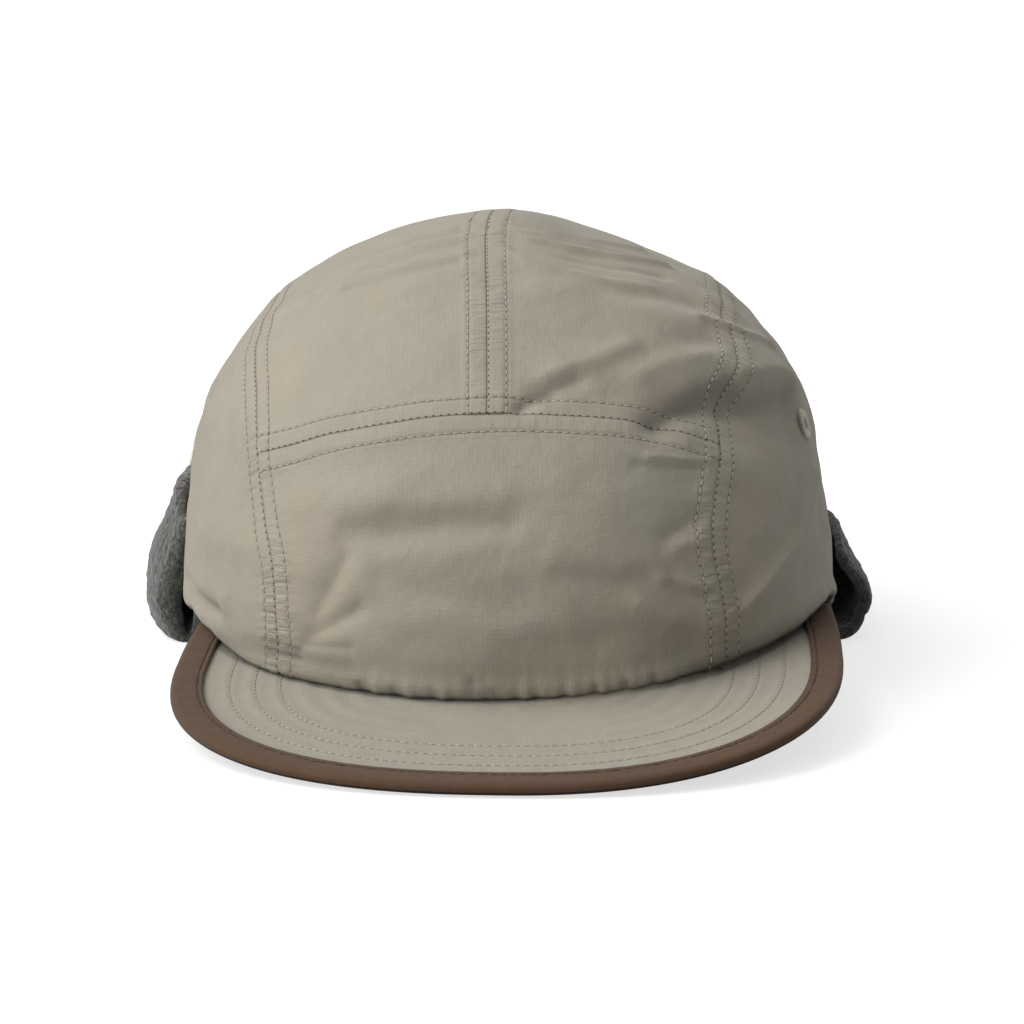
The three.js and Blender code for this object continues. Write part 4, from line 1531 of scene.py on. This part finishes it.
@dataclass
class UpperPanel(CrownPanel):
    """One of the two upper panels, from the brow seam over the top to the back rim.

    Attributes:
        side: Its side of the cap.
        width: About how wide it is.
        length: About how long it is.
        step_along: Its lines' distance along it.
        seam_before: About how long the seams run before they reach it.
    """

    side: Side = Side.LEFT
    width: float = 64.0
    length: float = 230.0
    step_along: float = 0.8
    seam_before: float = 80.0

    def make(self) -> None:
        """Makes the panel and its rows of stitches."""
        left = self.side is Side.LEFT
        start_name, end_name = ("left", "centre") if left else ("centre", "right")
        across = stops(self.width, self.coarse, self.fine, self.near, self.near)[None, :]
        over = stops(self.length, self.step_along, self.fine, self.near, 3)[:, None]

        def x_at(angle: Array) -> Array:
            """The distance from the middle of each column."""
            start_x, end_x = SEAMS.x_at(start_name, angle), SEAMS.x_at(end_name, angle)
            return lerp(start_x + self.gap, end_x - self.gap, across)

        turn = math.degrees(self.gap / BROW_REACH)
        start = SEAMS.brow_angle(x_at) + turn
        blank = np.zeros_like(start)
        end = found_angle(lambda a: CROWN.over(x_at(a), a), blank + 180, blank + 140)
        angle = lerp(start, end, over)
        points = CROWN.over(x_at(angle), angle)
        from_left, from_brow = arc_lengths(points, 1), arc_lengths(points, 0)
        from_right = from_left[:, -1:] - from_left
        from_rim = from_brow[-1:] - from_brow
        seam_left, seam_right = (SIDE_SEAM_LEFT, CENTRE_SEAM) if left else (CENTRE_SEAM, SIDE_SEAM_RIGHT)
        joined = (
            (seam_left, from_left, from_brow[:, :1] + self.seam_before),
            (seam_right, from_right, from_brow[:, -1:] + self.seam_before),
            (BROW_SEAM, from_brow, from_left[:1] + (0 if left else 62)),
        )
        grid = self.relief(points, joined, 0.4 * np.exp(-(((from_rim - 3) / 3) ** 2)))
        self.rows = [
            StitchRow(*grid.line_at(from_left, seam_left.row, 1)),
            StitchRow(*grid.line_before(from_right, seam_right.row, 1)),
            StitchRow(*grid.line_at(from_brow, BROW_SEAM.row, 0)),
            StitchRow(*grid.line_at(from_brow, DITCH_INSET, 0), **DITCH),
        ]
        if not left:
            self.rows.append(StitchRow(*grid.line_at(from_left, DITCH_INSET, 1), **DITCH))
        self.build(grid)


@dataclass
class SidePanel(CrownPanel):
    """One of the two side panels, from the rim up to its long arched seam.

    Attributes:
        side: Its side of the cap.
        eyelet: The middle of its eyelet.
        eyelet_hole: The radius of the hole in it.
        fan: How many degrees further back its foot lies, where the seam is steep.
        length: About how long its seam is.
        height: About how high it is.
        step_along: Its lines' distance along the seam.
        above_rim: How far above the rim the seam's ends lie.
    """

    side: Side = Side.LEFT
    eyelet: Array | None = None
    eyelet_hole: float = 2.9
    fan: float = 4.0
    length: float = 330.0
    height: float = 90.0
    step_along: float = 0.85
    above_rim: float = 0.6

    def make(self) -> None:
        """Makes the panel and its rows of stitches."""
        seam_name = self.side.name.lower()
        sign = self.side.value

        def on_seam(angle: Array) -> Array:
            """The seam's point at an angle over the top."""
            return CROWN.over(SEAMS.x_at(seam_name, angle), angle)

        ends = [
            float(found_angle(on_seam, np.array(outside), np.array(inside), self.above_rim))
            for outside, inside in ((0.0, 40.0), (180.0, 140.0))
        ]
        around = stops(self.length, self.step_along, self.step_along)[None, :]
        up = stops(self.height, self.coarse, self.fine, 3, self.near)[:, None]
        angle = lerp(ends[0], ends[1], around)
        top = CROWN.over(SEAMS.x_at(seam_name, angle) + sign * self.gap, angle)
        turn = np.degrees(np.arctan2(top[..., 0], -top[..., 1]))
        top_up = np.degrees(np.arctan2(top[..., 2], np.hypot(top[..., 0], top[..., 1])))
        fan = self.fan * smoothstep(around, 0, 0.06) * (1 - smoothstep(around, 0.3, 0.6))
        foot_turn = sign * (np.maximum.accumulate(sign * turn, axis=1) + fan)
        blank = np.zeros_like(turn)
        foot = found_angle(lambda a: CROWN.around(foot_turn, a), blank, blank + 30)
        points = CROWN.around(lerp(foot_turn, turn, up**2), lerp(foot, top_up, up))
        from_foot = arc_lengths(points, 0)
        from_seam, along = beside_line(points, self.whole_seam(on_seam, ends))
        seam = SIDE_SEAM_LEFT if self.side is Side.LEFT else SIDE_SEAM_RIGHT
        roll = 0.4 * np.exp(-(((from_foot - 3) / 2.4) ** 2)) - 0.9 * np.exp(-((from_foot / 0.9) ** 2))
        grid = self.relief(points, ((seam, from_seam, along),), roll)
        self.rows = [
            StitchRow(*grid.line_before(from_seam, seam.row, 0)),
            StitchRow(*grid.line_before(from_seam, DITCH_INSET, 0), **DITCH),
        ]
        hole = None if self.eyelet is None else (self.nearest(grid, self.eyelet), self.eyelet_hole)
        self.build(grid, hole)

    @staticmethod
    def whole_seam(on_seam: Callable[[Array], Array], ends: Sequence[float]) -> Array:
        """The seam's line, run on a little past both its ends."""
        return on_seam(np.linspace(ends[0] - 6, ends[1] + 6, 150))

    @staticmethod
    def nearest(grid: ClothGrid, place: Array) -> Array:
        """The point of the finished cloth that is nearest to a place."""
        away = np.linalg.norm(grid.points - place, axis=-1)
        return grid.points[np.unravel_index(away.argmin(), away.shape)]


@dataclass
class Eyelet:
    """A sewn eyelet: a cord ring wound with thread around a small hole.

    Attributes:
        pixel: Its middle in the photograph.
        outer: The ring's outer radius.
        inner: The hole's radius.
        winds: How many turns of thread go around the ring.
        sunk: How deep the ring sits in the cloth.
    """

    node: str
    pixel: Pixel
    outer: float = 4.3
    inner: float = 1.9
    winds: int = 44
    sunk: float = 0.25

    def place(self) -> Array:
        """Its middle on the smooth crown."""
        return SOFT.shown_at([self.pixel])[0]

    def make(self, finish: Material, under: Material) -> None:
        """Makes the ring and its turns of thread.

        Args:
            finish: The thread's material.
            under: The material of the ring below the thread, dark as painted shade between the turns.
        """
        p = self.place()
        out = CROWN.normal(p)
        middle = SOFT.moved(p[None])[0] - out * self.sunk
        bm = bmesh.new()
        radius, tube = (self.outer + self.inner) / 2, (self.outer - self.inner) / 2
        turn = Vector((0, 0, 1)).rotation_difference(Vector(out)).to_matrix().to_4x4()
        seat = Matrix.Translation(Vector(MeshMaker.to_frame(middle))) @ turn @ Matrix.Scale(MM, 4)
        upright = Matrix.Translation((radius, 0, 0)) @ Matrix.Rotation(math.pi / 2, 4, "X")
        flat = Matrix.Scale(0.62, 4, (0, 1, 0))
        bmesh.ops.create_circle(bm, segments=10, radius=tube * 0.82, matrix=upright @ flat)
        bmesh.ops.spin(
            bm,
            geom=bm.verts[:] + bm.edges[:],
            cent=(0, 0, 0),
            axis=(0, 0, 1),
            angle=2 * math.pi,
            steps=40,
            use_merge=True,
        )
        bmesh.ops.remove_doubles(bm, verts=bm.verts, dist=1e-4)
        for face in bm.faces:
            face.material_index = 1
        for k in range(self.winds):
            angle = 2 * math.pi * k / self.winds
            size = Matrix.Diagonal((tube * 1.04, math.pi * radius / self.winds * 1.25, 0.85, 1))
            bead = Matrix.Rotation(angle, 4, "Z") @ Matrix.Translation((radius, 0, 0.1)) @ size
            bmesh.ops.create_uvsphere(bm, u_segments=8, v_segments=6, radius=1, matrix=bead)
        bmesh.ops.recalc_face_normals(bm, faces=bm.faces)
        bm.transform(seat)
        made = MeshMaker.piece(f"{self.node}_ring", bm, [finish, under])
        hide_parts(self.node)
        log.info("%s: %d turns of thread", made.name, self.winds)


@dataclass
class Brim:
    """The short stiff brim in the crown's cloth, with parallel rows of stitches.

    Attributes:
        thickness: The board with its cloth.
        inset: Where the board ends inside the tape.
        row_insets: How far in from the edge each row of stitches lies.
        steps: How finely its edge is divided.
        tuck_up: How far its inner edge turns up inside the rim at the right, where the rim stands off.
        field_mm: About how far from the crown's wall its field is one.
    """

    thickness: float = 1.5
    inset: float = 2.2
    row_insets: tuple[float, ...] = (15.0, 21.5, 28.0)
    steps: int = 240
    tuck_up: float = 3.0
    field_mm: float = 38.0

    def height(self, x: Array, y: Array, away: Array) -> Array:
        """The height of the top face, which is drawn in a little along each row of stitches."""
        drawn = sum(0.22 * np.exp(-(((away - inset) / 0.7) ** 2)) for inset in self.row_insets)
        puff = 0.12 * np.sin(away * 2 * math.pi / 6.5)
        return BRIM.middle(x, y) + self.thickness / 2 - drawn + puff * smoothstep(away, 10, 16)

    def make(self, cloth: Material, thread: Sequence[Material]) -> None:
        """Makes the brim and its stitches.

        Args:
            cloth: The cloth's material.
            thread: The materials of its thread and of its needle holes' painted shade.
        """
        edge = BRIM.edge(self.inset, self.steps)
        inner = BRIM.under_rim(edge)
        inward = stops(60, 1.1, 0.6, 30, 2)[:, None, None]
        flat = lerp(edge[None], inner[None], inward)
        rim = BRIM.edge(0.0, self.steps)
        away = np.sqrt(((flat[:, :, None] - rim[None, None, ::3]) ** 2).sum(axis=-1)).min(axis=-1)
        tucked = self.tuck_up * smoothstep(inward[..., 0], 0.9, 1.0) * smoothstep(flat[..., 0], 0, 40)
        height = self.height(flat[..., 0], flat[..., 1], away) + tucked
        points = np.concatenate([flat, height[..., None]], axis=-1)
        up = np.zeros_like(points)
        up[..., 2] = 1
        # Painted shade: darker along the rows of stitches and next to the crown's wall.
        shade = sum(0.18 * np.exp(-(((away - inset) / 0.4) ** 2)) for inset in self.row_insets)
        from_crown = np.maximum(CROWN.field(points + [0, 0, 1.5]) * self.field_mm, 0)
        shade += 0.45 * np.exp(-((from_crown / 0.45) ** 1.5))
        grid = ClothGrid(points, CrownPanel.true_normals(points, up), flat, np.clip(shade, 0, 1))
        made = MeshMaker.cloth("brim_cloth", grid, cloth)
        MeshMaker.thicken(made, self.thickness)
        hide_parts("brim")
        log.info("%s: %d faces", made.name, len(made.data.polygons))
        rows = []
        for inset in self.row_insets:
            line = BRIM.edge(inset, self.steps)
            z = self.height(line[:, 0], line[:, 1], np.full(len(line), inset))
            points = np.column_stack([line, z])
            kept = CROWN.field(np.column_stack([line, np.maximum(z, 3.0)])) >= -0.02
            rows.append(StitchRow(points[kept], BRIM.normals(kept.sum()), hole=0.42))
        stitch_piece("brim_stitches", rows, thread)


@dataclass
class BrimTape:
    """The brown tape, folded around the brim's edge and stitched near its inner edge.

    Attributes:
        thickness: The tape's thickness.
        inside: Half the height of the room between its two sides.
        stitch_inset: How far in from the brim's edge its stitches lie.
        steps: How finely it is divided along the edge.
    """

    thickness: float = 0.85
    inside: float = 0.78
    stitch_inset: float = 6.7
    steps: int = 380

    def profile(self, half: float, edge: float, count: int) -> Array:
        """One face of the tape across its width, from its upper edge round to its lower one.

        Args:
            half: How high above the board's middle the face lies.
            edge: How far in from the brim's edge it turns.
            count: How many points it has.

        Returns:
            How far in from the edge and how high each point is.
        """
        power = 2 / 2.6
        turn = np.linspace(math.pi / 2, -math.pi / 2, count // 2)
        round_x = edge + 1.5 * half * (1 - np.abs(np.cos(turn)) ** power)
        round_z = half * np.sign(np.sin(turn)) * np.abs(np.sin(turn)) ** power
        straight = np.linspace(BRIM.tape_width, round_x[0], count // 4, endpoint=False)
        top = np.column_stack([straight, np.full(len(straight), half)])
        return np.concatenate([top, np.column_stack([round_x, round_z]), (top * [1, -1])[::-1]])

    def make(self, cloth: Material, thread: Sequence[Material]) -> None:
        """Makes the tape and its stitches.

        Args:
            cloth: The tape's material.
            thread: The materials of its thread and of its needle holes' painted shade.
        """
        outer = self.profile(self.inside + self.thickness, 0.0, 32)
        lines, cuts = [], []
        widths = arc_lengths(outer[None], 1)[0]
        ticks = Waves(31, 2.2, 6.0)
        for (inset, height), width in zip(outer, widths):
            line = BRIM.edge(float(inset), self.steps)
            z = BRIM.middle(line[:, 0], line[:, 1]) + height
            points = np.column_stack([line, z])
            upper = height > 0.5 * self.inside
            if upper:
                drawn = 0.16 * math.exp(-(((inset - self.stitch_inset) / 0.5) ** 2))
                puffed = 0.09 * ticks.at(points * [1, 1, 0]) * math.exp(-(((inset - 5.6) / 2.2) ** 2))
                points[:, 2] += puffed - drawn
            lines.append(points)
            along = arc_lengths(points[None], 1)[0]
            cuts.append(np.column_stack([along - along[-1] / 2, np.full(len(along), width)]))
        points, cut = np.array(lines), np.array(cuts)
        middle = BRIM.edge(4.0, self.steps)
        core = np.column_stack([middle, BRIM.middle(middle[:, 0], middle[:, 1])])
        # Painted shade: a line at the tape's inner edge, a faint one along its stitches, and its underside
        # dark.
        shade = np.zeros(points.shape[:2])
        shade[0] = 0.4
        near = np.abs(outer[:, 0] - self.stitch_inset) < 0.5
        shade[near & (outer[:, 1] > 0)] = 0.1
        shade[outer[:, 1] < -0.6 * self.inside] = 0.9
        grid = ClothGrid(points, CrownPanel.true_normals(points, points - core[None]), cut, shade)
        made = MeshMaker.cloth("brim_tape_cloth", grid, cloth)
        MeshMaker.thicken(made, self.thickness)
        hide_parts("brim_tape")
        long = float(arc_lengths(points[:1], 1).max()) * MM
        log.info("%s: %.0f mm long", made.name, long / MM)
        line = BRIM.edge(self.stitch_inset, self.steps)
        z = BRIM.middle(line[:, 0], line[:, 1]) + self.inside + self.thickness - 0.12
        row = StitchRow(np.column_stack([line, z]), BRIM.normals(len(line)), pitch=2.5, hole=0.45)
        stitch_piece("brim_tape_stitches", [row], thread)


class FlapPlace(NamedTuple):
    """The height of the flap's free edge at an angle around from the front, at each side."""

    around: float
    left: float
    right: float


@dataclass
class EarFlap:
    """The fleece ear flap: a strip sewn inside the rim, folded out and up around the sides and back.

    Attributes:
        heights: The free edge's height around the rim.
        start: The angle from the front where it starts at the right.
        start_left: The angle from the front where it starts at the left.
        cloth: The fleece's thickness.
        radius: The radius of its fold.
        fold_out: How far out from the crown's wall the fold's middle lies.
        left_out: How much further out it lies at the left.
        inside: How high its sewn edge lies inside the crown.
        bulge: How far its turned-up side bulges.
        edge_gap: The gap between its free edge and the crown.
        across: How many points its middle line has.
        close_length: How long the part is at its left end that closes in on the crown.
        closed_share: How far it still stands off at that end.
        length: About how long the strip is.
    """

    heights: tuple[FlapPlace, ...] = (
        FlapPlace(93, 33, 23),
        FlapPlace(97, 39, 27),
        FlapPlace(103, 42, 28.5),
        FlapPlace(115, 43, 31),
        FlapPlace(135, 46, 38),
        FlapPlace(160, 49, 48),
        FlapPlace(180, 50, 50),
    )
    start: float = 93.0
    start_left: float = 91.0
    cloth: float = 3.2
    radius: float = 5.95
    fold_out: float = 2.35
    left_out: float = 1.6
    inside: float = 24.0
    bulge: float = 2.3
    edge_gap: float = 1.2
    across: int = 60
    close_length: float = 16.0
    closed_share: float = 0.3
    length: float = 300.0

    def middle_line(self, around: float, side: Side) -> Array:
        """The middle of the cloth across the flap, from its sewn edge round the fold to its free edge.

        Args:
            around: The angle around from the front, up to 180.
            side: The side of the cap.

        Returns:
            How far out from the crown's wall and how high each point is.
        """
        keys = [place.around for place in self.heights]
        edge = [place.left if side is Side.LEFT else place.right for place in self.heights]
        height = float(along_table(keys, edge, around))
        centre = self.cloth / 2 + self.radius
        inner = self.fold_out - self.radius
        down = np.column_stack([np.full(8, inner), np.linspace(self.inside, centre, 8, endpoint=False)])
        turn = np.radians(np.linspace(180, 360, 25))
        fold = self.radius * np.column_stack([np.cos(turn), np.sin(turn)]) + [self.fold_out, centre]
        share = np.linspace(0, 1, 16)[1:]
        widest, closest = self.fold_out + self.radius, self.cloth / 2 + self.edge_gap
        bulge = self.bulge * np.sin(math.pi * np.minimum(share * 1.15, 1) ** 0.75)
        rise = np.column_stack([lerp(widest, closest, share**1.5) + bulge, lerp(centre, height, share)])
        return resample(np.concatenate([down, fold, rise]), np.linspace(0, 1, self.across))

    def section(self, line: Array, half: float) -> Array:
        """A closed outline around the middle line, with round ends.

        Args:
            line: The middle of the cloth.
            half: Half its thickness.

        Returns:
            The outline's points, with the first one again at the end.
        """
        along = unit(np.gradient(line, axis=0))
        out = np.column_stack([along[:, 1], -along[:, 0]])
        turn = np.linspace(0, math.pi, 9)[1:-1, None]
        free = line[-1] + half * (np.cos(turn) * out[-1] + np.sin(turn) * along[-1])
        sewn = line[0] - half * (np.cos(turn) * out[0] + np.sin(turn) * along[0])
        outer, inner = line + half * out, line - half * out
        return np.concatenate([outer, free, inner[::-1], sewn, outer[:1]])

    def closing(self, to_left_end: float) -> float:
        """How far the flap stands off at a length from its left end, where it hugs the crown."""
        share = min(to_left_end / self.close_length, 1)
        return lerp(self.closed_share, 1.0, math.sqrt(1 - (1 - share) ** 2))

    @staticmethod
    def wall(turn: Array, height: Array) -> Array:
        """Where the crown's wall stands, at angles around from the front and at heights."""
        turn, height = np.broadcast_arrays(turn, height)
        low, high = np.zeros(turn.shape), np.full(turn.shape, 70.0)
        for _ in range(24):
            middle = (low + high) / 2
            below = CROWN.around(turn, middle)[..., 2] < height
            low, high = np.where(below, middle, low), np.where(below, high, middle)
        return CROWN.around(turn, high)[..., :2]

    def beside_wall(self, turns: Array, outlines: Array) -> Array:
        """Places the flap's sections beside the crown's wall, which is taken as upright below the rim.

        Args:
            turns: The angle around of each section.
            outlines: How far out and how high each point of each section is.

        Returns:
            The points, section by section.
        """
        levels = np.linspace(BRIM.back_rim, 60, 30)
        wall = self.wall(turns[:, None], levels[None])
        points = []
        for ring, outline in zip(wall, outlines):
            height = np.maximum(outline[:, 1], 0)
            at = np.stack([np.interp(height, levels, ring[:, k]) for k in (0, 1)], axis=1)
            long = np.linalg.norm(at, axis=1, keepdims=True)
            points.append(np.column_stack([at * (long + outline[:, :1]) / long, height]))
        return np.array(points)

    def make(self, fleece: Material) -> None:
        """Makes the flap."""
        shares = stops(self.length, 1.0, 0.3, 2.0, 2.0)
        turns = lerp(self.start, 360 - self.start_left, shares)
        ends = np.minimum(shares, 1 - shares) * self.length
        outlines = []
        for share, turn, end in zip(shares, turns, ends):
            line = self.middle_line(min(turn, 360 - turn), Side.LEFT if turn > 180 else Side.RIGHT)
            inner = self.fold_out - self.radius
            line[:, 0] = inner + (line[:, 0] - inner) * self.closing((1 - share) * self.length)
            low = (1 - smoothstep(line[:, 1], 8, 30)) * smoothstep(line[:, 0], inner, inner + 8)
            line[:, 0] += self.left_out * smoothstep(turn, 200, 235) * low
            half = self.cloth / 2 * math.sqrt(max(1 - max(1 - 2 * end / self.cloth, 0) ** 2, 0))
            outlines.append(self.section(line, half))
        points = self.beside_wall(turns, np.array(outlines))
        out = unit(np.cross(np.gradient(points, axis=1), np.gradient(points, axis=0)))
        out = out * np.sign(((points - points.mean(axis=1, keepdims=True)) * out).sum(axis=-1).mean())
        lumps = 0.55 * Waves(41, 12, 30).at(points) + 0.22 * Waves(42, 2.0, 4.5, count=60).at(points)
        lumps = lumps * smoothstep(points[..., 2], 0.4, 4) * smoothstep(ends[:, None], 0, 3)
        moved = points + out * lumps[..., None]
        moved[:, -1] = moved[:, 0]
        cut = np.stack([arc_lengths(points, 0), arc_lengths(points, 1)], axis=-1)
        grid = ClothGrid(moved, out, cut, np.zeros(moved.shape[:2]))
        made = MeshMaker.cloth("ear_flap_fleece", grid, fleece, close=True)
        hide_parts("ear_flap")
        area = sum(face.area for face in made.data.polygons) / 2
        line = self.middle_line(180, Side.LEFT)
        wide = float(arc_lengths(line[None], 1).max()) * MM
        long = max(area / wide, self.length * MM)
        area = min(area, wide * long)
        faces = len(made.data.polygons)
        log.info("%s: %.0f mm wide, %.0f mm long, %d faces", made.name, wide / MM, long / MM, faces)


@dataclass(frozen=True)
class SoftLight:
    """A soft light from far away, with its direction as seen from the cap and its width in degrees."""

    name: str
    toward: Point
    strength: float
    wide: float = 30.0

    def make(self) -> None:
        """Adds the light."""
        sun = bpy.data.lights.new(self.name, "SUN")
        sun.energy = self.strength
        sun.angle = math.radians(self.wide)
        sun.color = (1.0, 0.985, 0.955)
        lamp = bpy.data.objects.new(self.name, sun)
        lamp.rotation_euler = Vector(self.toward).to_track_quat("Z", "Y").to_euler()
        bpy.context.scene.collection.objects.link(lamp)


@dataclass(frozen=True)
class Studio:
    """A plain pale floor, with soft light from the left and from all around.

    Attributes:
        floor_size: The floor's side, in metres.
        floor_grey: How much light the floor gives back.
        floor_lift: How much brighter the floor looks than it lights the cap.
        sky: The strength of the light from all around.
        lights: The soft lights.
    """

    floor_size: float = 14.0
    floor_grey: float = 0.42
    floor_lift: float = 0.68
    sky: float = 0.28
    lights: tuple[SoftLight, ...] = (
        SoftLight("key_light", (-0.62, 0.02, 0.785), 2.0, 44.0),
        SoftLight("front_light", (-0.814, -0.47, 0.342), 1.4, 40.0),
        SoftLight("top_light", (0.0, 0.0, 1.0), 0.68, 110.0),
    )

    def floor_finish(self) -> Material:
        """The floor's material, which looks white to the camera but lights the cap less."""
        material, n = Nodes.for_material("pale_floor")
        seen = n.add("LightPath").outputs["Is Camera Ray"]
        n.surface({
            "Base Color": (self.floor_grey, self.floor_grey, self.floor_grey, 1),
            "Roughness": 0.9,
            "Specular IOR Level": 0.1,
            "Emission Color": (1, 1, 1, 1),
            "Emission Strength": n.math("MULTIPLY", seen, self.floor_lift),
        })
        return material

    def make(self) -> None:
        """Makes the floor, the lights and the camera."""
        bm = bmesh.new()
        bmesh.ops.create_grid(bm, x_segments=1, y_segments=1, size=self.floor_size / 2)
        mesh = bpy.data.meshes.new("floor")
        bm.to_mesh(mesh)
        bm.free()
        mesh.materials.append(self.floor_finish())
        floor = bpy.data.objects.new("floor", mesh)
        bpy.context.scene.collection.objects.link(floor)
        for light in self.lights:
            light.make()
        world = bpy.data.worlds.new("studio")
        world.use_nodes = True
        background = world.node_tree.nodes["Background"]
        background.inputs["Color"].default_value = (1, 1, 1, 1)
        background.inputs["Strength"].default_value = self.sky
        bpy.context.scene.world = world
        bpy.context.scene.view_settings.view_transform = "Standard"
        VIEW.make()
        log.info("studio: floor, lights, sky and camera")


def main() -> None:
    """Builds the cap, piece by piece, and the studio around it."""
    logging.basicConfig(level=logging.INFO, format="%(name)s: %(message)s")
    finishes = Finishes()
    Studio().make()
    eyelets = (Eyelet("eyelet_left", (194.5, 450)), Eyelet("eyelet_right", (804.6, 424)))
    panels = [
        FrontPanel("front_panel", finishes.shell),
        UpperPanel("upper_panel_left", finishes.shell, side=Side.LEFT),
        UpperPanel("upper_panel_right", finishes.shell, side=Side.RIGHT),
        SidePanel("side_panel_left", finishes.shell, side=Side.LEFT, eyelet=eyelets[0].place()),
        SidePanel("side_panel_right", finishes.shell, side=Side.RIGHT, eyelet=eyelets[1].place()),
    ]
    for panel in panels:
        panel.make()
        stitch_piece(f"{panel.node}_stitches", panel.rows, (finishes.thread, finishes.hole))
    for eyelet in eyelets:
        eyelet.make(finishes.eyelet, finishes.hole)
    Brim().make(finishes.brim, (finishes.thread, finishes.hole))
    BrimTape().make(finishes.tape, (finishes.brown_thread, finishes.dark_hole_shade))
    EarFlap().make(finishes.fleece)


if __name__ == "__main__":
    main()
